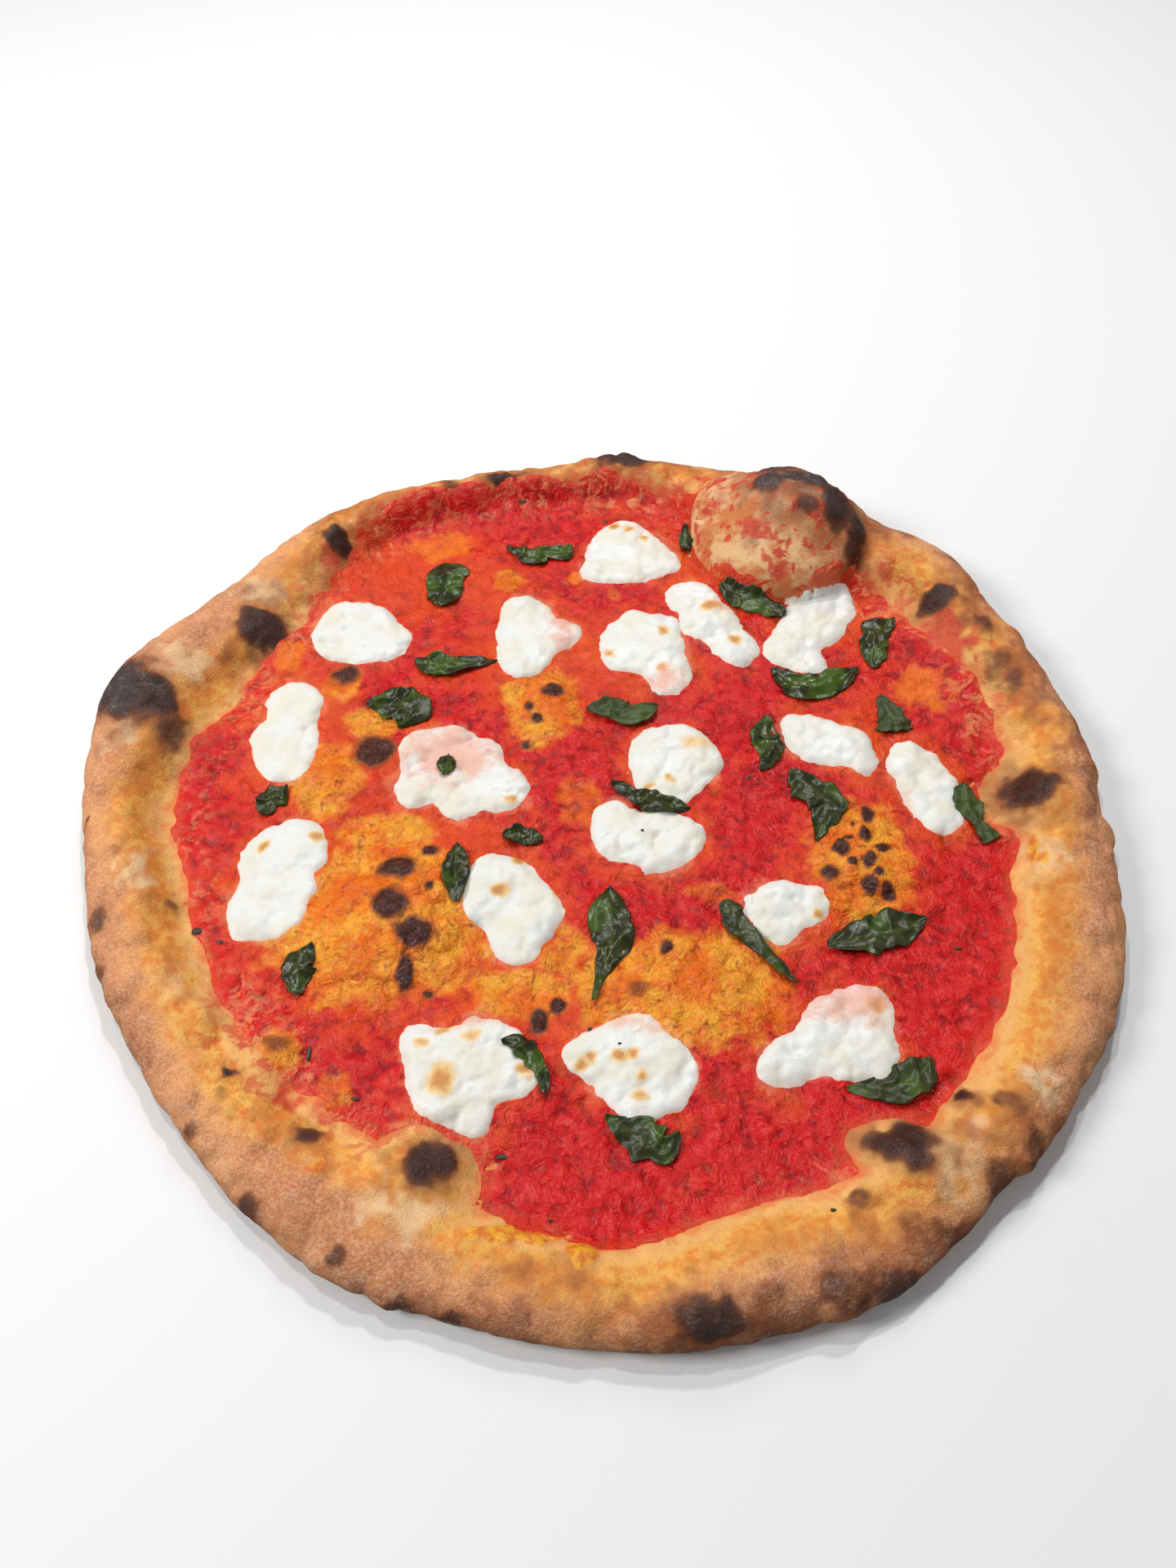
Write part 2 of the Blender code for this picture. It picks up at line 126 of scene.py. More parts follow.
OILY = (
    (-62, -32, 105, 90, 1.0), (0, -62, 110, 44, 0.9), (-15, 60, 110, 60, 0.8), (-62, 98, 90, 50, 0.9),
    (88, 28, 50, 90, 0.7), (-95, 22, 44, 90, 0.9), (78, -20, 50, 50, 0.8), (45, 95, 60, 40, 0.7),
    (20, 130, 90, 16, 0.6),
)
GLAZE = ((-22, -127, 28, 5, 1.0), (-6, -132, 10, 7, 1.0), (-72, -112, 8, 4, 0.8), (128, -18, 4, 14, 0.7))
# Each piece of mozzarella is a few lumps that ran together: (x, y, radius).
MOZZARELLA = (
    ((-84, 72, 13.5), (-90, 70, 9), (-73, 68, 7.5)),
    ((-26, 80, 9.5), (-25, 69, 10), (-26, 60, 8.5), (-13, 72, 6)),
    ((9, 110, 15), (-1, 102, 6), (24, 107, 5), (7, 120, 6)),
    ((15, 69, 13.5), (7, 62, 7), (24, 55, 7), (22, 50, 4)),
    ((31, 88, 8.5), (37, 77, 9.5), (46, 66, 8)),
    ((79, 84, 9.5), (71, 75, 11), (63, 65, 8), (71, 58, 5)),
    ((-101, 40, 9.5), (-102, 27, 11), (-99, 17, 8)),
    ((-58, 8, 8), (-44, 4, 8.5), (-31, 7, 9), (-58, 24, 7), (-48, 26, 7), (-47, 16, 6), (-38, 20, 6)),
    ((22, 20, 13.5), (20, 11, 9), (30, 17, 7)),
    ((16, -12, 11.5), (5, -11, 8), (24, -10, 6), (3, -2, 6)),
    ((-94, -13, 11), (-100, -19, 8), (-99, -35, 11), (-90, -28, 5)),
    ((-30, -26, 10), (-24, -35, 12), (-26, -46, 7), (-33, -33, 7)),
    ((51, -34, 8.5), (60, -34, 6.5), (52, -42, 5), (46, -35, 5)),
    ((68, 26, 9), (79, 24, 8), (63, 31, 5), (83, 18, 5)),
    ((98, 17, 8), (102, 7, 9), (105, -2, 7)),
    ((-40, -86, 13), (-28, -83, 10), (-49, -78, 7), (-34, -98, 5), (-35, -73, 5)),
    ((5, -81, 11), (15, -85, 10.5), (8, -92, 6), (-6, -79, 5), (9, -73, 5)),
    ((65, -74, 12), (51, -81, 7), (73, -80, 7), (45, -84, 4), (72, -65, 6)),
)
SCORCH = (
    (5, 122, 3, 3, 1.0), (10, 122, 3, 3, 1.0), (15, 118, 3, 3, 0.9), (21, 72, 3, 3, 0.9),
    (3, 62, 3, 3, 0.9), (21, 56, 3, 3, 0.9), (38, 83, 5, 4, 1.0), (46, 68, 4, 4, 1.0),
    (-102, -14, 3, 3, 1.0), (-87, -11, 3, 3, 1.0), (-28, 3, 3, 3, 0.8), (15, 8, 3, 3, 0.9),
    (21, 11, 3, 3, 0.8), (-26, -19, 4, 3, 1.0), (-30, -29, 4, 4, 1.0), (-13, -30, 3, 3, 0.9),
    (62, -37, 3, 3, 0.9), (-43, -87, 6, 7, 1.0), (-44, -72, 4, 3, 0.8), (-50, -77, 3, 3, 0.8),
    (-36, -74, 4, 3, 0.7), (-21, -84, 4, 4, 1.0), (4, -81, 4, 3, 1.0), (8, -80, 3, 3, 1.0),
    (10, -86, 3, 3, 0.9), (-7, -83, 3, 3, 0.9), (-4, -81, 3, 3, 1.0), (9, -91, 4, 3, 0.8),
    (75, -66, 4, 4, 1.0), (30, 24, 8, 6, 0.5),
)
MELTED = (
    (-48, 20, 34, 20, 1.0), (-36, -68, 12, 12, 0.8), (70, -64, 30, 12, 0.9), (9, -71, 20, 6, 0.6),
    (22, 51, 14, 12, 0.9), (-13, 74, 9, 18, 0.9), (44, 84, 12, 10, 0.6), (92, 0, 8, 20, 0.5),
)  # where the cheese ran thin over the sauce
# Each leaf: stations (x, y, half width) along its rib, how matt it is, and whether it lies on the cheese.
BASIL = (
    (((-47, 101, 3), (-54, 97, 7), (-56, 90, 6), (-57, 84, 2)), 0.2, False),
    (((-34, 112, 1), (-25, 109, 4), (-19, 111, 3), (-10, 110, 4)), 0.2, False),
    (((31, 123, 1), (31.5, 117, 2.5), (31, 112, 2)), 0.4, False),
    (((42, 93, 2), (50, 87, 5), (58, 82, 4), (64, 79, 1)), 0.3, True),
    (((101, 78, 1), (95, 71, 6), (92, 61, 4), (91, 55, 1)), 0.2, False),
    (((57, 56, 2), (64, 49, 5), (74, 49, 6), (86, 56, 1.5)), 0.1, False),
    (((-63, 60, 1), (-56, 57, 4.5), (-46, 57, 3), (-35, 59, 1)), 0.2, False),
    (((-77, 40, 1), (-69, 40, 7), (-62, 38, 6), (-66, 31, 1)), 0.2, False),
    (((-5, 38, 1), (3, 38, 5), (8, 36, 5), (18, 39, 1.5)), 0.8, False),
    (((53, 36, 1), (53, 29, 5), (53, 21, 4.5), (50, 14, 1)), 0.1, False),
    (((59, 14, 2), (65, 6, 6), (69, 0, 5.5), (64, -13, 1)), 0.3, False),
    (((91, 43, 2), (94, 35, 5), (95, 29, 6)), 0.9, False),
    (((113, 9, 2), (113, 1, 5), (114, -6, 2), (117, -13, 6)), 0.9, False),
    (((-98, 7.5, 1), (-102, 3, 5), (-104, -3, 1.5)), 0.2, False),
    (((-52, 16, 1), (-49, 15.5, 4), (-46, 15, 1)), 0.1, True),
    (((-30, -11, 2), (-24, -9.5, 3.5), (-18, -12, 1)), 0.1, False),
    (((-44, -13, 1), (-44, -22, 4.5), (-43, -34, 1)), 0.2, False),
    (((3, 9, 1.5), (10, 4, 3.5), (18, 1.5, 3.5), (27, 0, 1)), 0.2, True),
    (((2, -28, 1), (2, -38, 6), (2, -47, 5), (-1, -56, 2), (-3, -64, 0.8)), 0.2, False),
    (((36, -32, 2), (38, -38, 3.5), (46, -49, 2.5), (54, -59, 1.5)), 0.4, False),
    (((64, -47, 2), (74, -45, 6), (83, -43, 6), (93, -39, 1)), 0.3, False),
    (((-83, -47, 1), (-86, -53, 5), (-86, -58, 4.5), (-85, -63, 1)), 0.2, False),
    (((-28, -76, 1), (-22, -78, 4), (-17, -84, 2), (-16, -91, 1)), 0.2, True),
    (((0, -97, 1), (9, -103, 6), (15, -106, 4), (19, -101, 1)), 0.3, False),
    (((64, -89, 1), (75, -89, 4), (83, -86, 5), (88, -81, 1)), 0.5, False),
)
FLECKS = (
    (-117, -42, 5, 3), (-110, -46, 3, 2), (-80, -79, 2, 6), (-26, -107, 6, 2), (101, -48, 3, 1.5),
    (46, 12, 2, 2), (-29, 133, 4, 2), (2, 126, 3, 2), (-4, -72, 2, 1.5), (56, -122, 2, 1.5),
    (-14, -123, 2, 1), (12, -9, 1.5, 1), (4, -77, 1.5, 1), (-66, -92, 3, 1.5),
)

print(len(CHAR), "charred spots,", len(MOZZARELLA), "pieces of cheese,", len(BASIL), "leaves")

# %% [markdown]
# ## Noise and masks
# Noise is worked out once per point with arrays, which is far quicker than one call for every vertex.
# Value noise gives each corner of a lattice a hashed number and blends between corners.


# %% Noise, spots and other fields
def lattice_value(cells, seed):
    """A number from 0 to 1 for each whole-numbered lattice corner."""
    factors = np.array((374761393, 668265263, 1274126177))
    mixed = (cells @ factors + seed * 974634777) & 0xFFFFFFFF
    mixed = ((mixed ^ (mixed >> 13)) * 1103515245) & 0xFFFFFFFF
    return ((mixed ^ (mixed >> 16)) & 0xFFFF) / 65535.0


def noise(points, size, seed=0, octaves=1):
    """Smooth noise from -1 to 1 with features of the given size, in the units of the points."""
    total = np.zeros(len(points))
    weight_sum = 0.0
    for octave in range(octaves):
        scaled = points * (2**octave / size) + 17.3 * octave
        cell = np.floor(scaled).astype(np.int64)
        t = scaled - cell
        t = t * t * (3 - 2 * t)
        value = np.zeros(len(points))
        for corner in np.ndindex(2, 2, 2):
            share = np.prod(np.where(np.array(corner) == 1, t, 1 - t), axis=1)
            value += share * lattice_value(cell + np.array(corner), seed + octave)
        weight = 0.5**octave
        total += weight * (2 * value - 1)
        weight_sum += weight
    return total / weight_sum


def pebbles(flat, size, seed):
    """Close-packed rounded lumps of a size, from 0 between them to 1 on their tops."""
    scaled = flat / size
    home = np.floor(scaled).astype(np.int64)
    home[:, 2] = 0
    nearest = np.full(len(flat), 9.0)
    for dx, dy in np.ndindex(3, 3):
        cell = home + np.array((dx - 1, dy - 1, 0))
        x = cell[:, 0] + lattice_value(cell, seed)
        y = cell[:, 1] + lattice_value(cell, seed + 1)
        nearest = np.minimum(nearest, np.hypot(scaled[:, 0] - x, scaled[:, 1] - y))
    return np.sqrt(np.clip(1 - nearest**2, 0, 1))


def smooth(value, low, high):
    share = np.clip((value - low) / (high - low), 0, 1)
    return share * share * (3 - 2 * share)


def ovals(places, table, seed, soft=0.35, wander=0.25, scale=1.0):
    """How deep each place lies in a table's ovals: 0 outside, and an oval's strength well inside it."""
    best = np.zeros(len(places))
    flat = np.column_stack((places[:, :2], np.zeros(len(places))))
    strayed = []
    for axis, offset in ((0, 0), (1, 40)):
        shift = 2.4 * noise(flat, 6.0, seed + offset, 2) + 1.4 * noise(flat, 2.3, seed + offset + 5)
        strayed.append(places[:, axis] + wander * shift)
    x_place, y_place = strayed
    ragged = 0.5 * wander * noise(flat, 4.0, seed + 80, 2)
    for x, y, width, height, strength in table:
        reach = np.hypot((x_place - x) / (0.5 * width), (y_place - y) / (0.5 * height)) / scale
        best = np.maximum(best, strength * smooth(-(reach + ragged), -1 - soft, -1 + soft))
    return best


def table_round(table, angles):
    """A table of values evenly spaced round the pizza, read at many angles on a smooth periodic curve."""
    table = np.array(table, float)
    place = (angles % math.tau) / math.tau * len(table)
    first = place.astype(int)
    t = place - first
    a, b, c, d = (table[(first + k) % len(table)] for k in (-1, 0, 1, 2))
    return b + ((c - a) * t + (2 * a - 5 * b + 4 * c - d) * t**2 + (3 * b - a - 3 * c + d) * t**3) / 2


def inside_sauce(places):
    """How far each place lies inside the sauce's edge, in mm, below 0 outside it."""
    radius = np.hypot(places[:, 0], places[:, 1])
    angle = np.arctan2(places[:, 1], places[:, 0])
    inside = table_round(SAUCE_EDGE, angle) - radius
    for x, y, half_length, half_width in BARE:
        reach = np.hypot((places[:, 0] - x) / half_length, (places[:, 1] - y) / half_width)
        inside = np.minimum(inside, (reach - 1) * half_width)
    flat = np.column_stack((places[:, :2], np.zeros(len(places))))
    ragged = 2.6 * noise(flat, 13.0, 31, 2) + 1.2 * noise(flat, 4.5, 35)
    return inside + ragged


LUMP_BLEND = 0.42  # how sharply lumps that ran together stay apart, per mm


def inside_lumps(places, lumps):
    """How far each place lies inside a piece of cheese, in mm, below 0 outside it."""
    total = np.zeros(len(places))
    for x, y, radius in lumps:
        past_edge = np.hypot(places[:, 0] - x, places[:, 1] - y) - radius
        total += np.exp(np.clip(-LUMP_BLEND * past_edge, -60, 60))
    return np.log(np.maximum(total, 1e-30)) / LUMP_BLEND


# %% [markdown]
# ## Working on meshes
# Vertices are read and written as whole arrays, in mm from the working centre.


# %% Mesh helpers
def select_only(obj):
    bpy.ops.object.select_all(action="DESELECT")
    obj.select_set(True)
    bpy.context.view_layer.objects.active = obj


def places_of(obj):
    flat = np.empty(len(obj.data.vertices) * 3, np.float32)
    obj.data.vertices.foreach_get("co", flat)
    places = flat.reshape(-1, 3).astype(float) / MM
    places[:, :2] -= CENTRE
    return places


def move_to(obj, places):
    world = places.copy()
    world[:, :2] += CENTRE
    obj.data.vertices.foreach_set("co", (world * MM).astype(np.float32).ravel())
    obj.data.update()


def normals_of(obj):
    flat = np.empty(len(obj.data.vertices) * 3, np.float32)
    obj.data.vertices.foreach_get("normal", flat)
    return flat.reshape(-1, 3).astype(float)


def store(obj, name, values):
    """Keeps one number per vertex under a name, where a material can read it."""
    layer = obj.data.attributes.new(name, "FLOAT", "POINT")
    layer.data.foreach_set("value", values.astype(np.float32))


def drop_vertices(obj, unwanted):
    select_only(obj)
    obj.data.edges.foreach_set("select", np.zeros(len(obj.data.edges), bool))
    obj.data.polygons.foreach_set("select", np.zeros(len(obj.data.polygons), bool))
    obj.data.vertices.foreach_set("select", unwanted)
    bpy.ops.object.mode_set(mode="EDIT")
    bpy.ops.mesh.select_mode(type="VERT")
    bpy.ops.mesh.delete(type="VERT")
    bpy.ops.object.mode_set(mode="OBJECT")


def surface_of(obj):
    """A tree that finds the object's top from above."""
    return BVHTree.FromObject(obj, bpy.context.evaluated_depsgraph_get())


def top_under(trees, places, missing=0.0):
    """Height of the highest of the surfaces under each place, in mm."""
    down = Vector((0, 0, -1))
    heights = np.full(len(places), float(missing))
    for index, (x, y) in enumerate((places[:, :2] + CENTRE) * MM):
        for tree in trees:
            hit = tree.ray_cast(Vector((x, y, 0.2)), down)[0]
            if hit:
                heights[index] = max(heights[index], hit.z / MM)
    return heights


def new_grid(name, low, high, step):
    """A flat grid of squares between two corners, in mm from the working centre."""
    spans = [max(2, round((high[k] - low[k]) / step)) for k in (0, 1)]
    middle = [((low[k] + high[k]) / 2 + CENTRE[k]) * MM for k in (0, 1)]
    bpy.ops.object.select_all(action="DESELECT")
    bpy.ops.mesh.primitive_grid_add(
        x_subdivisions=spans[0], y_subdivisions=spans[1], size=1.0, location=(middle[0], middle[1], 0)
    )
    grid = bpy.context.object
    grid.name = name
    grid.scale = ((high[0] - low[0]) * MM, (high[1] - low[1]) * MM, 1)
    bpy.ops.object.transform_apply(location=True, rotation=True, scale=True)
    return grid


# %% [markdown]
# ## Shader maths
# A socket wrapped in a small class can be added, multiplied and compared like a number, so a material
# reads as a few lines of arithmetic.


# %% Shader helpers
def rgb(red, green, blue):
    """A colour given as 0 to 255 for a screen, in the linear values that a shader wants."""
    def linear(value):
        share = value / 255
        return share / 12.92 if share <= 0.04045 else ((share + 0.055) / 1.055) ** 2.4

    return (linear(red), linear(green), linear(blue), 1.0)


class Value:
    """A socket that takes part in sums."""

    def __init__(self, shader, socket):
        self.shader = shader
        self.socket = socket

    def _math(self, operation, first, second, clamp=False):
        settings = {"operation": operation, "use_clamp": clamp}
        return self.shader.node("ShaderNodeMath", settings, {0: first, 1: second})

    def __add__(self, other):
        return self._math("ADD", self, other)

    def __radd__(self, other):
        return self._math("ADD", other, self)

    def __sub__(self, other):
        return self._math("SUBTRACT", self, other)

    def __rsub__(self, other):
        return self._math("SUBTRACT", other, self)

    def __mul__(self, other):
        return self._math("MULTIPLY", self, other)

    def __rmul__(self, other):
        return self._math("MULTIPLY", other, self)

    def maximum(self, other):
        return self._math("MAXIMUM", self, other)

    def clamped(self):
        return self._math("ADD", self, 0.0, clamp=True)


class Shader:
    """A new material with a Principled shader, and one method that adds any other node."""

    def __init__(self, name):
        self.material = bpy.data.materials.new(name)
        self.material.use_nodes = True
        self.tree = self.material.node_tree
        self.principled = self.tree.nodes["Principled BSDF"]
        self.place = self.node("ShaderNodeTexCoord", {}, {}, "Object")

    def node(self, kind, settings, inputs, output=0):
        made = self.tree.nodes.new(kind)
        for key, value in settings.items():
            setattr(made, key, value)
        for key, value in inputs.items():
            self.feed(made.inputs[key], value)
        return Value(self, made.outputs[output])

    def feed(self, socket, value):
        if isinstance(value, Value):
            self.tree.links.new(value.socket, socket)
        else:
            socket.default_value = value

    def stored(self, name):
        return self.node("ShaderNodeAttribute", {"attribute_name": name}, {}, "Fac")

    def noise(self, size, detail=2.0, rough=0.5, distortion=0.0, seed=0.0):
        """Noise from 0 to 1 with features of a size in mm."""
        place = self.place
        if seed:
            place = self.node("ShaderNodeVectorMath", {"operation": "ADD"}, {0: place, 1: (seed, seed, seed)})
        values = {"Vector": place, "Scale": 1000.0 / size, "Detail": detail, "Roughness": rough}
        values["Distortion"] = distortion
        return self.node("ShaderNodeTexNoise", {}, values, 0)

    def step(self, value, low, high):
        """0 below low, 1 above high, and a smooth rise between."""
        settings = {"interpolation_type": "SMOOTHSTEP", "clamp": True}
        return self.node("ShaderNodeMapRange", settings, {0: value, 1: low, 2: high, 3: 0.0, 4: 1.0})

    def mix(self, share, first, second):
        """Blends two colours."""
        made = self.tree.nodes.new("ShaderNodeMix")
        made.data_type = "RGBA"
        self.feed(made.inputs[0], share)
        self.feed(made.inputs[6], first)
        self.feed(made.inputs[7], second)
        return Value(self, made.outputs[2])

    def finish(self, **inputs):
        for key, value in inputs.items():
            self.feed(self.principled.inputs[key.replace("_", " ")], value)
        return self.material

    def bump(self, height, strength, distance):
        """A normal that follows a height, whose full range stands for a distance in mm."""
        values = {"Height": height, "Strength": strength, "Distance": distance * MM}
        return self.node("ShaderNodeBump", {}, values)


# %% [markdown]
# ## Baked dough
# The crust starts as a copy of the frame's node. Merging gives back one skin, turning its triangles to
# quads lets a Subdivision Surface round it, and then only the rim, which shows, is cut finer.

# %% Crust mesh
FINE_LEVELS = 2
DOUBLES = 0.02 * MM
SHOWS_TO = 9  # mm under the sauce's edge to which the dough is cut fine
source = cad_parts["crust"]
crust = source.copy()
crust.data = source.data.copy()
crust.name = "crust_baked"
crust.data.materials.clear()
bpy.context.collection.objects.link(crust)
crust.hide_render = False
select_only(crust)
bpy.ops.object.mode_set(mode="EDIT")
bpy.ops.mesh.select_all(action="SELECT")
bpy.ops.mesh.remove_doubles(threshold=DOUBLES)
bpy.ops.mesh.tris_convert_to_quads(face_threshold=math.pi, shape_threshold=math.pi)
bpy.ops.object.mode_set(mode="OBJECT")
rounding = crust.modifiers.new("rounding", "SUBSURF")
rounding.levels = FINE_LEVELS
rounding.render_levels = FINE_LEVELS
bpy.ops.object.modifier_apply(modifier=rounding.name)

places = places_of(crust)
showing = (inside_sauce(places) < SHOWS_TO) & (places[:, 2] > 0.4)
select_only(crust)
crust.data.polygons.foreach_set("select", np.zeros(len(crust.data.polygons), bool))
crust.data.edges.foreach_set("select", np.zeros(len(crust.data.edges), bool))
crust.data.vertices.foreach_set("select", showing)
bpy.ops.object.mode_set(mode="EDIT")
bpy.ops.mesh.select_mode(type="VERT")
bpy.ops.mesh.select_mode(type="FACE")
bpy.ops.mesh.subdivide(number_cuts=1, smoothness=0.6)
bpy.ops.object.mode_set(mode="OBJECT")
print("crust", len(crust.data.polygons), "faces")

# %% [markdown]
# Baking leaves the rim lumpy: broad swellings, small blisters and a fine dry grain. Each is noise pushed
# out along the surface. Small round blisters are scattered on the rim, and each charred spot swells a
# little as well.

# %% Crust relief
BELLY = 6.0  # how far the great bubble leans over the toppings
BLISTERS = 150
BLISTER_RING = (128, 154)  # radii between which they lie
OIL_SWELL = 1.1
places = places_of(crust)
from_bubble = places[:, :2] - np.array(GREAT_BUBBLE[:2])
bubble_reach = np.hypot(from_bubble[:, 0] / GREAT_BUBBLE[2], from_bubble[:, 1] / GREAT_BUBBLE[3])
outward = from_bubble / np.maximum(np.hypot(from_bubble[:, 0], from_bubble[:, 1]), 1e-6)[:, None]
inward_side = smooth(outward @ INWARD, -0.6, 0.3) * smooth(places[:, 2], 4.0, 8.0)
belly = BELLY * np.exp(-(((bubble_reach - 0.85) / 0.22) ** 2)) * inward_side
places[:, :2] += outward * belly[:, None]
places[:, 2] += 1.5 * smooth(-bubble_reach, -0.9, -0.4) * inward_side
move_to(crust, places)
normals = normals_of(crust)
outside = smooth(-inside_sauce(places), -4, 5)
standing = smooth(places[:, 2], 0.3, 4.0)
under = smooth(-normals[:, 2], 0.2, 0.8) * (1 - smooth(places[:, 2], 1.0, 4.0))
char = ovals(places, CHAR, 1, soft=0.6, wander=0.55)
creases = (1 - np.abs(noise(places, 15, 15, 2))) ** 6
relief = 1.2 * noise(places, 24, 3, 2) + 0.8 * noise(places, 9, 5, 2) + 0.3 * noise(places, 3.6, 9, 2)
relief -= 0.7 * creases
chooser = np.random.default_rng(7)
blisters = np.zeros(len(places))
for angle, share, size in zip(
    chooser.uniform(0, math.tau, BLISTERS), chooser.uniform(0, 1, BLISTERS), chooser.uniform(2, 6, BLISTERS)
):
    radius = BLISTER_RING[0] + (BLISTER_RING[1] - BLISTER_RING[0]) * share
    reach = np.hypot(places[:, 0] - radius * math.cos(angle), places[:, 1] - radius * math.sin(angle)) / size
    blisters = np.maximum(blisters, 0.24 * size * np.maximum(0, 1 - reach**2))
oil_swell = OIL_SWELL * ovals(places, GLAZE, 8, soft=0.4, wander=0.7)
char_swell = char * (0.7 + 0.5 * noise(places, 3.0, 17, 2))
relief += blisters + oil_swell + char_swell
moved = places + normals * (relief * outside * standing)[:, None]
moved[:, 2] = np.maximum(moved[:, 2], 0.0)
moved[:, 2] -= moved[:, 2].min()
move_to(crust, moved)
select_only(crust)
bpy.ops.object.shade_smooth()
print("crust relief from", round(relief.min(), 1), "to", round(relief.max(), 1), "mm")

# %% [markdown]
# A material can't tell where on the pizza it is, so each mark is worked out here and kept as one number
# per vertex, which an Attribute node reads back: how charred, how toasted, how far from the sauce.

# %% Crust marks
edge_distance = -inside_sauce(moved)
store(crust, "char", char)
store(crust, "edge", np.clip(edge_distance, -10, 60))
store(crust, "smoke", ovals(moved, CHAR, 1, soft=1.0, wander=1.2, scale=1.6))
store(crust, "toast", ovals(moved, TOAST, 9, soft=1.0, wander=1.5))
store(crust, "glaze", ovals(moved, GLAZE, 8, soft=0.5, wander=0.7))
store(crust, "bubble", 1 - smooth(bubble_reach, 0.85, 1.05))
store(crust, "lace", ovals(moved, LACE, 13, soft=0.8, wander=1.5))
store(crust, "cream", ovals(moved, CREAM, 2, soft=1.0, wander=1.5))
store(crust, "stain", ovals(moved, STAIN, 4, soft=0.9, wander=1.2))
store(crust, "under", under)
# How low on the rim's outer side a place is; it darkens the dough, partly as toasting and partly as painted
# shade near the table.
store(crust, "low", (1 - smooth(moved[:, 2], 2.0, 10.0)) * smooth(edge_distance, 8.0, 18.0))
print("crust marks", len(crust.data.attributes), "attributes")

# %% [markdown]
# The dough's colours are floury pink-tan outside, gold where oil soaked the inner side of the rim,
# toasted brown on the bumps and near-black where bubbles caught the flame.

# %% Dough material
s = Shader("baked_dough")
broad = s.noise(24, 3, 0.6, seed=3.1)
middle = s.noise(8, 4, 0.6, seed=5.2)
small = s.noise(2.8, 3, 0.6, seed=6.1)
grain = s.noise(0.9, 3, 0.7, seed=1.4)
# Dry, floury dough on the outside of the rim.
colour = s.mix(s.step(broad, 0.35, 0.65), rgb(232, 158, 102), rgb(200, 126, 82))
colour = s.mix(s.step(middle, 0.48, 0.66) * 0.6, colour, rgb(180, 116, 80))
colour = s.mix(s.step(grain, 0.42, 0.66) * 0.5, colour, rgb(238, 194, 154))
colour = s.mix((1.0 - s.step(grain, 0.3, 0.46)) * 0.3, colour, rgb(168, 104, 76))
# Cream beside the sauce, then a mottled golden band.
edge = s.stored("edge") + 12.0 * (middle - 0.5) + 5.0 * (small - 0.5) + 8.0 * (broad - 0.5)
gold = (1.0 - s.step(edge, 8.0, 21.0)) * s.step(edge, 1.0, 6.0)
colour = s.mix(gold * 0.85, colour, s.mix(s.step(small, 0.35, 0.65), rgb(232, 138, 40), rgb(248, 190, 84)))
band = s.step(edge, 6.0, 10.0) * (1.0 - s.step(edge, 11.0, 15.0)) * s.step(broad, 0.4, 0.6)
colour = s.mix(band * 0.6, colour, rgb(200, 108, 42))
colour = s.mix((1.0 - s.step(edge, 2.0, 7.0)) * 0.8, colour, rgb(248, 196, 116))
colour = s.mix((1.0 - s.step(edge, -1.5, 4.0)) * 0.65, colour, rgb(228, 100, 44))
cream = s.step(s.stored("cream") + 0.6 * (middle - 0.5) + 0.3 * (small - 0.5), 0.15, 1.0)
colour = s.mix(cream * 0.75, colour, rgb(242, 210, 164))
# Freckles and broad browning.
freckles = s.step(small + 0.2 * (middle - 0.5), 0.6, 0.8) * (1.0 - s.step(edge, 14.0, 26.0))
colour = s.mix(freckles * 0.5, colour, rgb(176, 92, 38))
bubble = s.stored("bubble")
bubble_colour = s.mix(s.step(middle + 0.3 * (small - 0.5), 0.4, 0.6), rgb(206, 118, 70), rgb(238, 196, 150))
colour = s.mix(bubble * (1.0 - cream) * 0.8, colour, bubble_colour)
toast = s.step(s.stored("toast") + 1.0 * (middle - 0.5) + 0.6 * (small - 0.5), 0.2, 1.0)
colour = s.mix(toast * 0.75, colour, s.mix(s.step(broad, 0.4, 0.6), rgb(168, 88, 42), rgb(132, 78, 54)))
toasted_orange = toast * s.step(small, 0.45, 0.6) * (1.0 - s.step(edge, 10.0, 24.0))
colour = s.mix(toasted_orange * 0.6, colour, rgb(222, 126, 60))
# Darker brown low on the rim's outer side: partly toasting from the oven floor, partly painted shade where
# the rim meets the table.
low = s.stored("low")
colour = s.mix(low * s.step(middle, 0.3, 0.6) * 0.6, colour, rgb(124, 78, 58))
# Sauce that splashed on the dough, oil that pooled on it.
streaks = s.noise(5.0, 4, 0.6, distortion=0.4, seed=4.7)
specks = s.step(s.noise(5.2, 3, 0.5, distortion=0.4, seed=4.7), 0.55, 0.62) * bubble
lace = s.step(streaks, 0.48, 0.6) * (1.0 - s.step(edge, 3.0, 18.0)) * s.stored("lace")
stain = s.step(s.stored("stain") + 1.0 * (streaks - 0.5), 0.3, 0.8).maximum(specks).maximum(lace * 0.9)
colour = s.mix(stain * 0.85, colour, s.mix(s.step(small, 0.4, 0.6), rgb(216, 66, 36), rgb(202, 30, 30)))
glaze = s.step(s.stored("glaze") + 0.4 * (small - 0.5), 0.35, 0.7)
colour = s.mix(glaze * 0.8, colour, s.mix(s.step(small, 0.4, 0.6), rgb(224, 110, 8), rgb(246, 176, 40)))
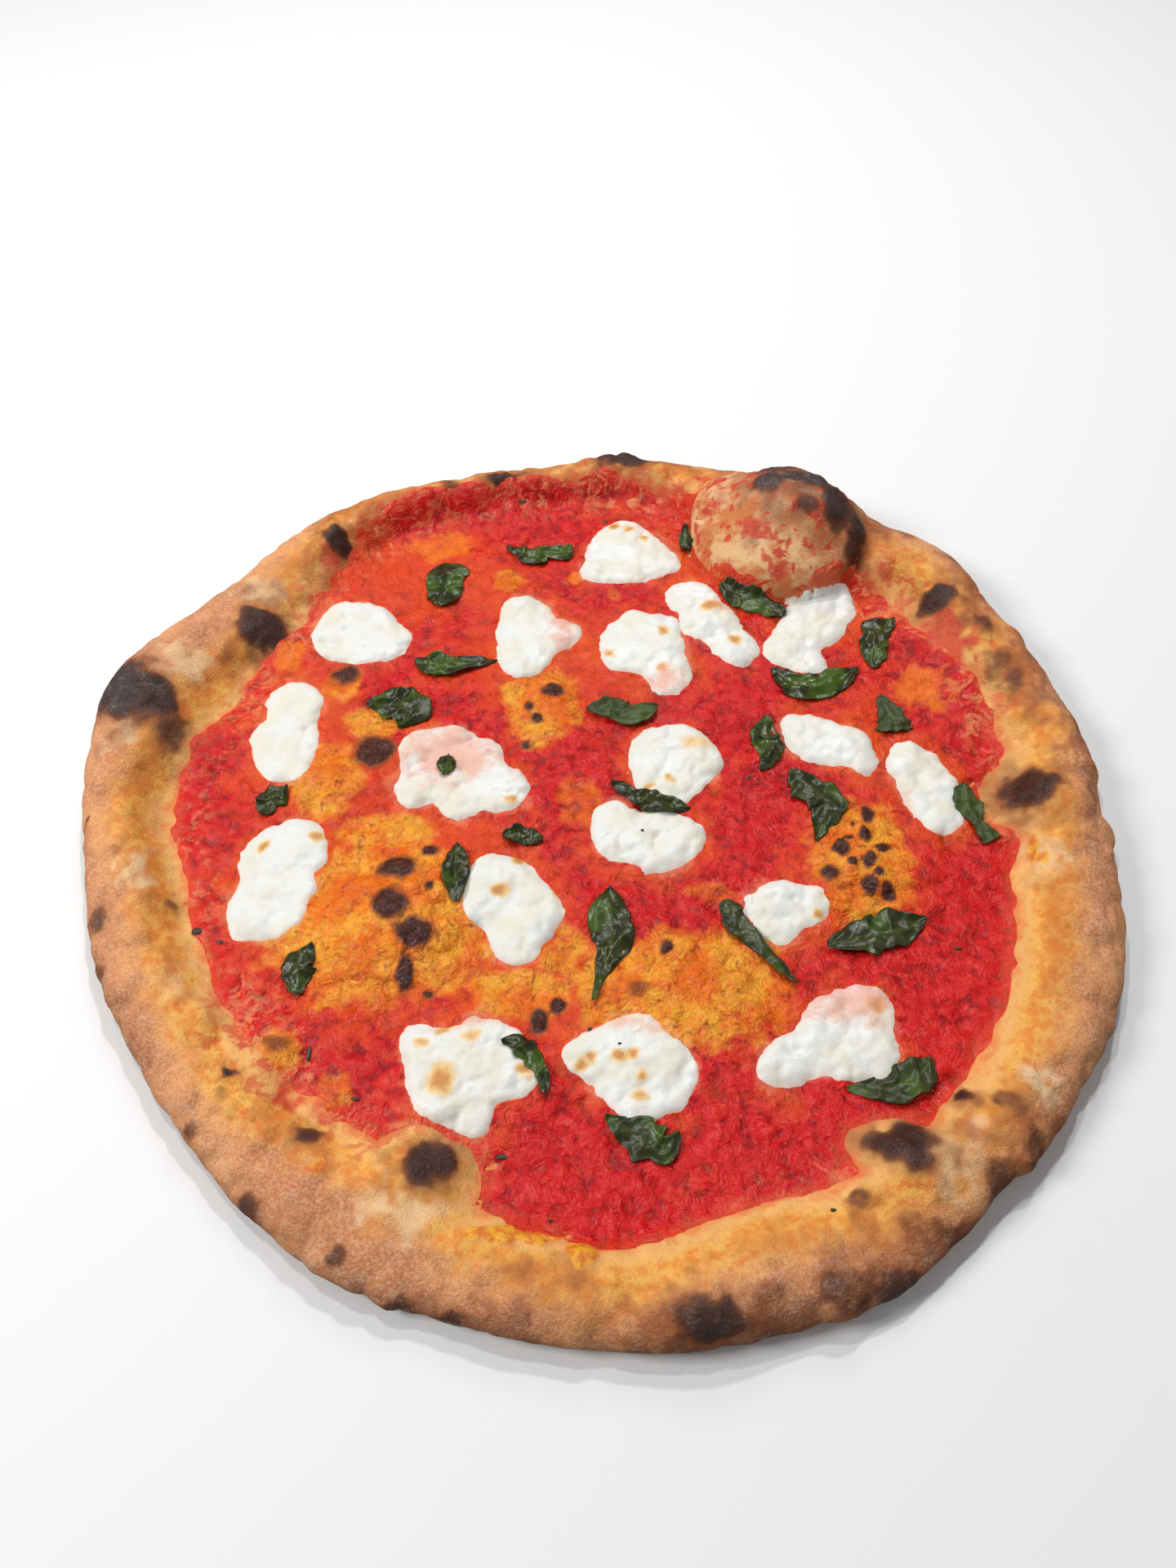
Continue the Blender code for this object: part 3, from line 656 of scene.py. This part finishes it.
# Char, brown at its edge, with a smoky surround.
ragged = s.stored("char") + 0.5 * (middle - 0.5) + 0.4 * (small - 0.5)
smoke = s.stored("smoke") + 0.7 * (middle - 0.5)
colour = s.mix(s.step(smoke, 0.1, 1.0) * (0.8 - 0.6 * stain), colour, rgb(140, 78, 44))
colour = s.mix(s.step(ragged, 0.15, 0.6) * 0.85, colour, rgb(98, 52, 32))
burnt = s.mix(s.step(edge, 8.0, 22.0), rgb(52, 24, 19), rgb(60, 48, 46))
burnt = s.mix(s.step(grain, 0.45, 0.7) * 0.4, burnt, rgb(104, 78, 66))
colour = s.mix(s.step(ragged, 0.4, 0.95) * 0.95, colour, burnt)
flour = (0.25 + 0.75 * low) * s.step(edge, 12.0, 24.0) * s.step(s.noise(6, 4, 0.75, seed=2.2), 0.5, 0.66)
colour = s.mix(flour * s.step(grain, 0.3, 0.6) * 0.6, colour, rgb(236, 218, 206))
# The hidden underside: pale, spotted brown by the oven floor.
under_colour = s.mix(s.step(s.noise(14, 4, 0.6, seed=9.1), 0.52, 0.62), rgb(222, 178, 128), rgb(120, 70, 42))
under_colour = s.mix(s.step(s.noise(9, 3, 0.6, seed=4.1), 0.6, 0.68), under_colour, rgb(60, 42, 36))
colour = s.mix(s.stored("under"), colour, under_colour)
height = 0.35 * grain + 0.4 * small + 0.25 * s.noise(0.5, 2, 0.6)
rough = 0.82 - 0.14 * gold - 0.25 * s.step(ragged, 0.4, 0.7) - 0.3 * stain - 0.65 * glaze
dough_material = s.finish(
    Base_Color=colour, Roughness=rough.maximum(0.12), Normal=s.bump(height, 0.9, 1.0), Subsurface_Weight=0.05,
    Subsurface_Radius=(0.002, 0.001, 0.0006), Specular_IOR_Level=0.35,
)
print("dough material", len(s.tree.nodes), "nodes")
crust.data.materials.append(dough_material)
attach(crust, "root")
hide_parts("crust")

# %% [markdown]
# ## Tomato sauce
# The sauce is a fine grid laid over the dough. It stands a millimetre proud, thins out over the dough's
# domes and sinks into the dough past its edge, so the edge that shows is as ragged as a real one.

# %% Sauce spread
SAUCE_STEP = 1.05
crust_top = surface_of(crust)
sauce = new_grid("sauce_spread", (-146, -136), (140, 146), SAUCE_STEP)
places = places_of(sauce)
drop_vertices(sauce, inside_sauce(places) < -4)
places = places_of(sauce)
inside = inside_sauce(places)
flat = np.column_stack((places[:, :2], np.zeros(len(places))))
dome = ovals(places, DOME, 11, soft=0.45, wander=0.45)
pool = ovals(places, POOL, 12, soft=0.5, wander=0.5)
to_cheese = np.max([inside_lumps(places, lumps) for lumps in MOZZARELLA], axis=0)
thickness = 1.3 * smooth(inside, -1.0, 9.0) - 0.6 * (1 - smooth(inside, -2.5, 1.0))
oily = ovals(places, OILY, 14, soft=0.6, wander=0.6)
warped = flat + 1.6 * np.column_stack((noise(flat, 5, 53, 2), noise(flat, 5, 55, 2), np.zeros(len(flat))))
lumps_height = 0.9 * noise(flat, 10, 41, 2) + 1.9 * pebbles(warped, 5.5, 43)
lumps_height += 1.3 * pebbles(warped, 2.9, 57) - 2.2
calm = (1 - 0.8 * dome) * (1 - 0.6 * pool) * (1 - 0.3 * oily)
thickness = thickness * (1 - 0.5 * dome) + lumps_height * calm * smooth(inside, -1, 4)
print("sauce thickness from", round(thickness.min(), 1), "to", round(thickness.max(), 1), "mm")

# %% [markdown]
# Where the dough swelled through the sauce it is pitted with little bubbles. They are scattered over the
# domes, more on the larger ones, and a ring is kept round each, because oil and colour gather there.

# %% Small bubbles on the domes
DOME_BUBBLES = 230
chooser = np.random.default_rng(11)
weights = np.array([width * height for _, _, width, height, _ in DOME], float)
dough_bubbles = np.zeros(len(places))
rings = np.zeros(len(places))
for pick in chooser.choice(len(DOME), DOME_BUBBLES, p=weights / weights.sum()):
    x, y, width, height, _ = DOME[pick]
    turn = chooser.uniform(0, math.tau)
    reach_out = chooser.uniform(0, 1) ** 0.5
    size = chooser.uniform(1.4, 4.2)
    middle = (x + 0.5 * width * reach_out * math.cos(turn), y + 0.5 * height * reach_out * math.sin(turn))
    reach = np.hypot(places[:, 0] - middle[0], places[:, 1] - middle[1]) / size
    dough_bubbles = np.maximum(dough_bubbles, 0.32 * size * np.sqrt(np.maximum(0, 1 - reach**2)))
    rings = np.maximum(rings, np.exp(-(((reach - 1) / 0.2) ** 2)))
leopard = ovals(places, LEOPARD, 6, soft=0.6, wander=0.4)
thickness += dome * (0.35 * noise(flat, 5, 47, 2) + dough_bubbles)
thickness += 0.5 * leopard * (1 + noise(flat, 2.2, 51))
sauce_places = places.copy()
sauce_places[:, 2] = top_under([crust_top], places, missing=4.0) + thickness
move_to(sauce, sauce_places)
select_only(sauce)
bpy.ops.object.shade_smooth()
store(sauce, "dome", dome)
store(sauce, "pool", pool)
store(sauce, "rings", rings)
store(sauce, "char", leopard)
store(sauce, "cheese", to_cheese)
store(sauce, "inside", inside)
store(sauce, "oily", oily)
store(sauce, "lump", lumps_height)
store(sauce, "lace", ovals(places, LACE, 13, soft=0.8, wander=1.5))
print("sauce", len(sauce.data.polygons), "faces")

# %% [markdown]
# Crushed tomato is painted darker between its lumps as shade, and lighter on their tops and in small pale
# flecks as highlights. Oil turns it orange near the cheese and in pools, and the domes are golden under a
# thin film, freckled and charred.

# %% Sauce material
s = Shader("tomato")
broad = s.noise(16, 3, 0.6, seed=1.7)
pulp = s.noise(4.2, 4, 0.65, distortion=0.6, seed=2.9)
fine = s.noise(1.2, 3, 0.6, seed=7.7)
lump = s.stored("lump") + 2.0 * (pulp - 0.5)
# Painted shade: dark red where the lumps sink, full red on their tops.
colour = s.mix(s.step(lump, -1.4, 0.3), rgb(132, 0, 6), rgb(208, 6, 14))
# Painted highlight: lighter red on the lumps' tops.
colour = s.mix(s.step(lump + 1.0 * (fine - 0.5), 0.2, 1.4) * 0.5, colour, rgb(226, 34, 30))
# Painted highlights: small pale pink flecks on the pulp.
painted_highlight_flecks = s.step(s.noise(2.6, 4, 0.7, distortion=0.5, seed=6.6), 0.5, 0.68)
colour = s.mix(painted_highlight_flecks * 0.45, colour, rgb(238, 78, 58))
# Painted shade in the pulp's hollows, the low places of its bump.
colour = s.mix((1.0 - s.step(pulp, 0.37, 0.49)) * 0.7, colour, rgb(138, 0, 8))
oily = s.step(s.stored("oily") + 1.0 * (broad - 0.5) + 0.7 * (pulp - 0.5), 0.3, 1.0)
colour = s.mix(oily * 0.8, colour, rgb(230, 72, 12))
near = s.stored("cheese") + 6.0 * (pulp - 0.5) + 14.0 * (broad - 0.5)
patchy = s.step(s.noise(13, 3, 0.6, seed=12.3), 0.4, 0.62)
colour = s.mix(s.step(near, -9.0, 0.0) * patchy * 0.55, colour, rgb(238, 96, 20))
pool_mask = s.step(s.stored("pool") + 1.1 * (broad - 0.5) + 1.0 * (pulp - 0.5), 0.35, 1.0)
edge_mask = 1.0 - s.step(s.stored("inside") + 8.0 * (pulp - 0.5), -0.5, 4.5)
colour = s.mix(edge_mask * 0.5, colour, rgb(230, 92, 54))
colour = s.mix(pool_mask * 0.85, colour, rgb(246, 122, 12))
lace = s.stored("lace") * (1.0 - s.step(s.stored("inside") + 8.0 * (broad - 0.5), 3.0, 18.0))
lace = lace * s.step(s.noise(6.5, 4, 0.65, distortion=1.5, seed=4.1), 0.48, 0.64)
colour = s.mix(lace * 0.7, colour, rgb(240, 160, 104))
# Domes of dough that rose through the sauce.
dome_mask = s.step(s.stored("dome") + 0.9 * (pulp - 0.5) + 0.5 * (broad - 0.5), 0.2, 0.8)
dome_base = s.mix(s.step(broad + 0.4 * (fine - 0.5), 0.4, 0.62), rgb(238, 116, 2), rgb(246, 174, 46))
dome_base = s.mix(s.stored("rings") * 0.45, dome_base, rgb(216, 84, 14))
dome_base = s.mix(s.step(pulp, 0.54, 0.68) * 0.55, dome_base, rgb(214, 60, 20))
colour = s.mix(dome_mask * 0.92, colour, dome_base)
freckles = s.step(s.noise(2.4, 3, 0.6, seed=3.3), 0.58, 0.68)
colour = s.mix(freckles * dome_mask * 0.7, colour, rgb(150, 66, 16))
# Char on the domes.
ragged = s.stored("char") + 0.6 * (pulp - 0.5) + 0.3 * (fine - 0.5)
colour = s.mix(s.step(ragged, 0.08, 0.5) * 0.85, colour, rgb(152, 72, 22))
burnt = s.mix(s.step(fine, 0.4, 0.7), rgb(52, 20, 16), rgb(100, 46, 26))
colour = s.mix(s.step(ragged, 0.4, 0.75), colour, burnt)
colour = s.mix(s.step(near, -0.8, 1.4) * 0.25, colour, rgb(240, 170, 130))
wet = s.step(s.noise(3.2, 2, 0.5, seed=8.4), 0.4, 0.56)
gloss = 0.26 - 0.14 * wet + 0.1 * (fine - 0.5) - 0.08 * pool_mask + 0.06 * dome_mask
height = 0.8 * pulp + 0.2 * fine
sauce_material = s.finish(
    Base_Color=colour, Roughness=gloss.maximum(0.12), Normal=s.bump(height, 1.0, 2.4), Subsurface_Weight=0.05,
    Subsurface_Radius=(0.002, 0.0006, 0.0004), Specular_IOR_Level=0.34,
)
print("sauce material", len(s.tree.nodes), "nodes")
sauce.data.materials.append(sauce_material)
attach(sauce, "root")
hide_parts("sauce")

# %% [markdown]
# ## Mozzarella
# Each piece melted into a soft mound: thick in the middle, thin and clear at its edge, where it sinks
# into the sauce. Its thickness grows with the distance in from its edge, and noise gives it its lazy
# dents.

# %% Mozzarella material
s = Shader("cheese")
cloud = s.noise(9, 3, 0.55, seed=4.4)
fibre = s.noise(1.9, 4, 0.65, distortion=1.2, seed=5.5)
fine = s.noise(0.9, 2, 0.6, seed=7.1)
colour = s.mix(s.step(cloud, 0.35, 0.7), rgb(232, 233, 230), rgb(230, 226, 209))
# Painted shade along the cheese's fibres, a little darker and greyer.
colour = s.mix(s.step(fibre, 0.55, 0.75) * 0.5, colour, rgb(222, 220, 208))
ragged_depth = s.stored("depth") + 3.0 * (cloud - 0.5) + 1.6 * (fibre - 0.5)
colour = s.mix((1.0 - s.step(ragged_depth, -0.4, 2.0)) * 0.5, colour, rgb(240, 206, 186))
colour = s.mix((1.0 - s.step(ragged_depth, -1.6, 0.4)) * 0.7, colour, rgb(226, 124, 92))
scorch = s.stored("scorch") + 0.5 * (fibre - 0.5)
colour = s.mix(s.step(scorch, 0.05, 0.6) * 0.8, colour, rgb(236, 190, 104))
colour = s.mix(s.step(scorch, 0.45, 1.0) * 0.8, colour, rgb(196, 116, 30))
melted = s.step(s.stored("melted") + 1.2 * (fibre - 0.5) + 0.6 * (cloud - 0.5), 0.15, 1.0)
colour = s.mix(melted * 0.75, colour, rgb(234, 160, 136))
cheese_material = s.finish(
    Base_Color=colour, Roughness=0.34 + 0.22 * s.step(cloud, 0.3, 0.7),
    Normal=s.bump(0.7 * fibre + 0.3 * fine, 0.5, 0.45), Subsurface_Weight=0.15,
    Subsurface_Radius=(0.003, 0.002, 0.0015),
)
print("cheese material", len(s.tree.nodes), "nodes")

# %% Mozzarella pieces
CHEESE_STEP = 0.75
CHEESE_HEIGHT = 1.8
CHEESE_SKIRT = 1.4  # mm of thin skin past the edge, pressed into the sauce
CHEESE_CLIMB = 4  # mm a piece may climb above its middle
sauce_top = surface_of(sauce)
cheese_tops = []
for number, lumps in enumerate(MOZZARELLA, start=1):
    low = [min(lump[k] - lump[2] for lump in lumps) - 5 for k in (0, 1)]
    high = [max(lump[k] + lump[2] for lump in lumps) + 5 for k in (0, 1)]
    piece = new_grid(f"cheese_{number:02d}", low, high, CHEESE_STEP)
    places = places_of(piece)
    flat = np.column_stack((places[:, :2], np.full(len(places), 9.0 * number)))
    wander = 1.9 * noise(flat, 9, 61, 2) + 0.8 * noise(flat, 2.6, 63, 2)
    depth = inside_lumps(places, lumps) + wander
    drop_vertices(piece, depth < -CHEESE_SKIRT)
    kept = depth >= -CHEESE_SKIRT
    places, depth, flat = places[kept], depth[kept], flat[kept]
    mound = CHEESE_HEIGHT * (1 - np.exp(-np.maximum(depth, 0) / 2.0))
    dents = 0.35 * noise(flat, 11, 65, 2) + 0.07 * noise(flat, 2.4, 67, 2)
    rise = mound + dents * smooth(depth, 0.5, 5) + 0.6 * np.minimum(depth, 0)
    ground = top_under([crust_top, sauce_top], places, missing=4.0)
    places[:, 2] = np.minimum(ground, np.median(ground) + CHEESE_CLIMB) - 0.25 + rise
    move_to(piece, places)
    select_only(piece)
    bpy.ops.object.shade_smooth()
    store(piece, "depth", depth)
    store(piece, "scorch", ovals(places, SCORCH, 21, soft=0.8, wander=0.5, scale=1.15))
    store(piece, "melted", ovals(places, MELTED, 22, soft=1.0, wander=1.0))
    piece.data.materials.append(cheese_material)
    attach(piece, "root")
    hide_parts(f"mozzarella_{number:02d}")
    cheese_tops.append(surface_of(piece))
print("mozzarella", number, "pieces")

# %% [markdown]
# ## Basil
# A wilted leaf is a strip of grid bent along its rib, folded, crumpled, and grooved by its veins. A
# Solidify modifier gives it its thickness.

# %% Basil material
s = Shader("leaf_green")
mottle = s.noise(6, 4, 0.6, seed=2.1)
patch = s.noise(16, 2, 0.5, seed=6.6)
fine = s.noise(1.2, 3, 0.6, seed=3.6)
matt = s.stored("matt")
colour = s.mix(s.step(mottle, 0.35, 0.65), rgb(16, 17, 2), rgb(46, 52, 6))
colour = s.mix(s.step(patch + 0.3 * (mottle - 0.5), 0.5, 0.62) * 0.75, colour, rgb(66, 94, 16))
colour = s.mix(s.step(mottle + 0.3 * (fine - 0.5), 0.62, 0.75) * 0.7, colour, rgb(56, 36, 18))
colour = s.mix(matt * 0.6, colour, rgb(72, 86, 46))
colour = s.mix(s.stored("vein") * 0.3, colour, rgb(96, 110, 40))
rough = (0.13 + 0.16 * s.step(fine, 0.3, 0.7) + 0.36 * matt).clamped()
leaf_material = s.finish(
    Base_Color=colour, Roughness=rough, Normal=s.bump(0.5 * mottle + 0.5 * fine, 0.6, 0.6),
    Specular_IOR_Level=0.4,
)
print("leaf material", len(s.tree.nodes), "nodes")

# %% Basil leaves
LEAF_LONG = 48
LEAF_WIDE = 16
LEAF_THICKNESS = 0.25
LEAF_CLIMB = 3  # mm a leaf may climb above its middle


def along_rib(stations, share):
    """(x, y, half width) along a leaf on a smooth curve through its stations, for an array of shares."""
    table = np.array(stations, float)
    place = np.clip(share, 0, 1) * (len(table) - 1)
    first = np.minimum(place.astype(int), len(table) - 2)
    t = (place - first)[:, None]
    a = table[np.maximum(first - 1, 0)]
    b, c = table[first], table[first + 1]
    d = table[np.minimum(first + 2, len(table) - 1)]
    return b + ((c - a) * t + (2 * a - 5 * b + 4 * c - d) * t**2 + (3 * b - a - 3 * c + d) * t**3) / 2


for number, (stations, mattness, on_cheese) in enumerate(BASIL, start=1):
    bpy.ops.mesh.primitive_grid_add(
        x_subdivisions=LEAF_LONG, y_subdivisions=LEAF_WIDE, size=1.0, location=(0, 0, 0)
    )
    leaf = bpy.context.object
    leaf.name = f"leaf_{number:02d}"
    raw = np.empty(len(leaf.data.vertices) * 3, np.float32)
    leaf.data.vertices.foreach_get("co", raw)
    raw = raw.reshape(-1, 3).astype(float)
    share, side = raw[:, 0] + 0.5, 2 * raw[:, 1]
    rib = along_rib(stations, share)
    ahead, behind = along_rib(stations, share + 0.03), along_rib(stations, share - 0.03)
    heading = np.arctan2(ahead[:, 1] - behind[:, 1], ahead[:, 0] - behind[:, 0]) + math.pi / 2
    seeded = np.column_stack((share * 9, 3.0 * np.sign(side), np.full(len(share), 5.0 * number)))
    ragged = 0.95 + 0.5 * noise(seeded, 1.2, 71, 2) + 0.35 * noise(seeded, 4.0, 83)
    half = np.maximum(rib[:, 2], 0.7) * ragged
    half *= np.sqrt(np.clip(1 - np.abs(2 * share - 1) ** 8, 0.02, 1))
    places = np.zeros((len(share), 3))
    places[:, 0] = rib[:, 0] + side * half * np.cos(heading)
    places[:, 1] = rib[:, 1] + side * half * np.sin(heading)
    trees = [crust_top, sauce_top] + (cheese_tops if on_cheese else [])
    flat = np.column_stack((places[:, :2], np.full(len(places), 3.0 * number)))
    vein = np.exp(-((side * half / 0.5) ** 2)) * smooth(half, 1.5, 3.0)
    side_veins = np.clip(4 * np.cos(math.tau * (share * 5 - np.abs(side) * 0.9)) - 3, 0, 1)
    side_veins *= smooth(half, 2, 4)
    crumple = 0.9 * noise(flat, 8, 73, 2) + 1.1 * (1 - np.abs(noise(flat, 5, 75))) ** 4
    pleats = 0.3 * np.cos(5 * side + 6 * noise(seeded, 3, 79) + 4 * share) * smooth(half, 1.5, 4)
    fold = 0.6 * (1 - np.abs(side)) + 1.5 * side**2 * np.maximum(0, noise(flat, 7, 77) + 0.1) + pleats
    ground = top_under(trees, places, missing=4.0)
    ground = np.minimum(ground, np.median(ground) + LEAF_CLIMB)
    places[:, 2] = ground + 0.45 + fold + np.maximum(crumple, -0.5)
    places[:, 2] -= 0.35 * vein + 0.15 * side_veins
    move_to(leaf, places)
    store(leaf, "vein", np.maximum(vein, 0.5 * side_veins))
    store(leaf, "matt", np.full(len(share), float(mattness)))
    thicken = leaf.modifiers.new("thickness", "SOLIDIFY")
    thicken.thickness = LEAF_THICKNESS * MM
    thicken.offset = -1
    select_only(leaf)
    bpy.ops.object.modifier_apply(modifier=thicken.name)
    bpy.ops.object.shade_smooth()
    leaf.data.materials.append(leaf_material)
    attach(leaf, "root")
    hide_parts(f"basil_{number:02d}")
print("basil", number, "leaves")

# %% [markdown]
# ## Herb flecks
# Little dark scraps lie about on the sauce. Each is a flattened ball sunk half into what it lies on.

# %% Flecks
fleck_objects = []
for x, y, width, height in FLECKS:
    bpy.ops.object.select_all(action="DESELECT")
    bpy.ops.mesh.primitive_ico_sphere_add(subdivisions=2, radius=1.0, location=(0, 0, 0))
    fleck = bpy.context.object
    places = places_of(fleck)
    unit = (places + np.array((CENTRE[0], CENTRE[1], 0))) * MM
    bumpy = 1 + 0.6 * noise(unit + x, 0.8, 81)
    across, along = 0.35 * width * bumpy, 0.35 * height * bumpy
    places = np.column_stack((x + unit[:, 0] * across, y + unit[:, 1] * along, unit[:, 2] * 0.3))
    ground = top_under([crust_top, sauce_top] + cheese_tops, np.array([[x, y, 0.0]]), missing=4.0)[0]
    places[:, 2] += ground + 0.15
    move_to(fleck, places)
    fleck_objects.append(fleck)
select_only(fleck_objects[0])
for fleck in fleck_objects:
    fleck.select_set(True)
bpy.ops.object.join()
flecks = bpy.context.object
flecks.name = "herb_flecks"
bpy.ops.object.shade_smooth()
s = Shader("herb_fleck")
fleck_colour = s.mix(s.noise(1.5, 2), rgb(34, 32, 22), rgb(72, 60, 34))
flecks.data.materials.append(s.finish(Base_Color=fleck_colour, Roughness=0.5))
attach(flecks, "root")
print("flecks", len(FLECKS))

# %% [markdown]
# ## Stage, lights and camera
# A pale floor and white, soft lamps. The camera stands near the table's edge and looks down at the pizza.

# %% Stage
bpy.ops.object.select_all(action="DESELECT")
bpy.ops.mesh.primitive_plane_add(size=6.0, location=(0, 0, 0))
floor = bpy.context.object
floor.name = "floor"
s = Shader("floor_white")
camera_ray = s.node("ShaderNodeLightPath", {}, {}, "Is Camera Ray")
s.finish(Base_Color=s.mix(camera_ray, (0.3, 0.3, 0.3, 1.0), (0.9, 0.9, 0.9, 1.0)), Roughness=0.9)
floor.data.materials.append(s.material)


# Each lamp: its name, its place in metres, the side of its square, and its power in watts.
LAMPS = (
    ("key", (-0.85, -0.1, 0.8), 0.35, 7.2),
    ("fill", (0.8, -0.1, 0.9), 0.9, 1.3),
    ("sparkle", (0.1, 0.6, 0.95), 0.06, 3.4),
    ("sparkle_left", (-0.25, 0.35, 1.0), 0.06, 2.2),
    ("top", (0.1, 0.9, 0.9), 0.3, 2.0),
)
WORLD_LIGHT = 0.17


def lamp(name, place, size, power):
    """A square, white area lamp that faces the pizza."""
    light = bpy.data.lights.new(name, "AREA")
    light.size = size
    light.energy = power
    obj = bpy.data.objects.new(name, light)
    obj.location = place
    obj.rotation_euler = (-Vector(place)).to_track_quat("-Z", "Y").to_euler()
    bpy.context.collection.objects.link(obj)


for name, place, size, power in LAMPS:
    lamp(name, place, size, power)
world = bpy.data.worlds.new("studio")
world.use_nodes = True
world.node_tree.nodes["Background"].inputs[0].default_value = (1, 1, 1, 1)
world.node_tree.nodes["Background"].inputs[1].default_value = WORLD_LIGHT
bpy.context.scene.world = world
bpy.context.scene.view_settings.view_transform = "Standard"
print(len(LAMPS), "lamps")

# %% Camera
CAMERA_PLACE = (-4.5, -199, 310)  # mm from the working centre
CAMERA_TILT = 34.4  # degrees up from straight down
camera_data = bpy.data.cameras.new("camera")
camera_data.sensor_fit = "VERTICAL"
camera_data.sensor_height = 34.64
camera_data.lens = 26
camera_data.clip_start = 0.01
camera = bpy.data.objects.new("camera", camera_data)
camera.location = Vector((*(CAMERA_PLACE[:2] + CENTRE), CAMERA_PLACE[2])) * MM
camera.rotation_euler = (math.radians(CAMERA_TILT), 0, 0)
bpy.context.collection.objects.link(camera)
bpy.context.scene.camera = camera
print("camera", CAMERA_TILT, "degrees from straight down")
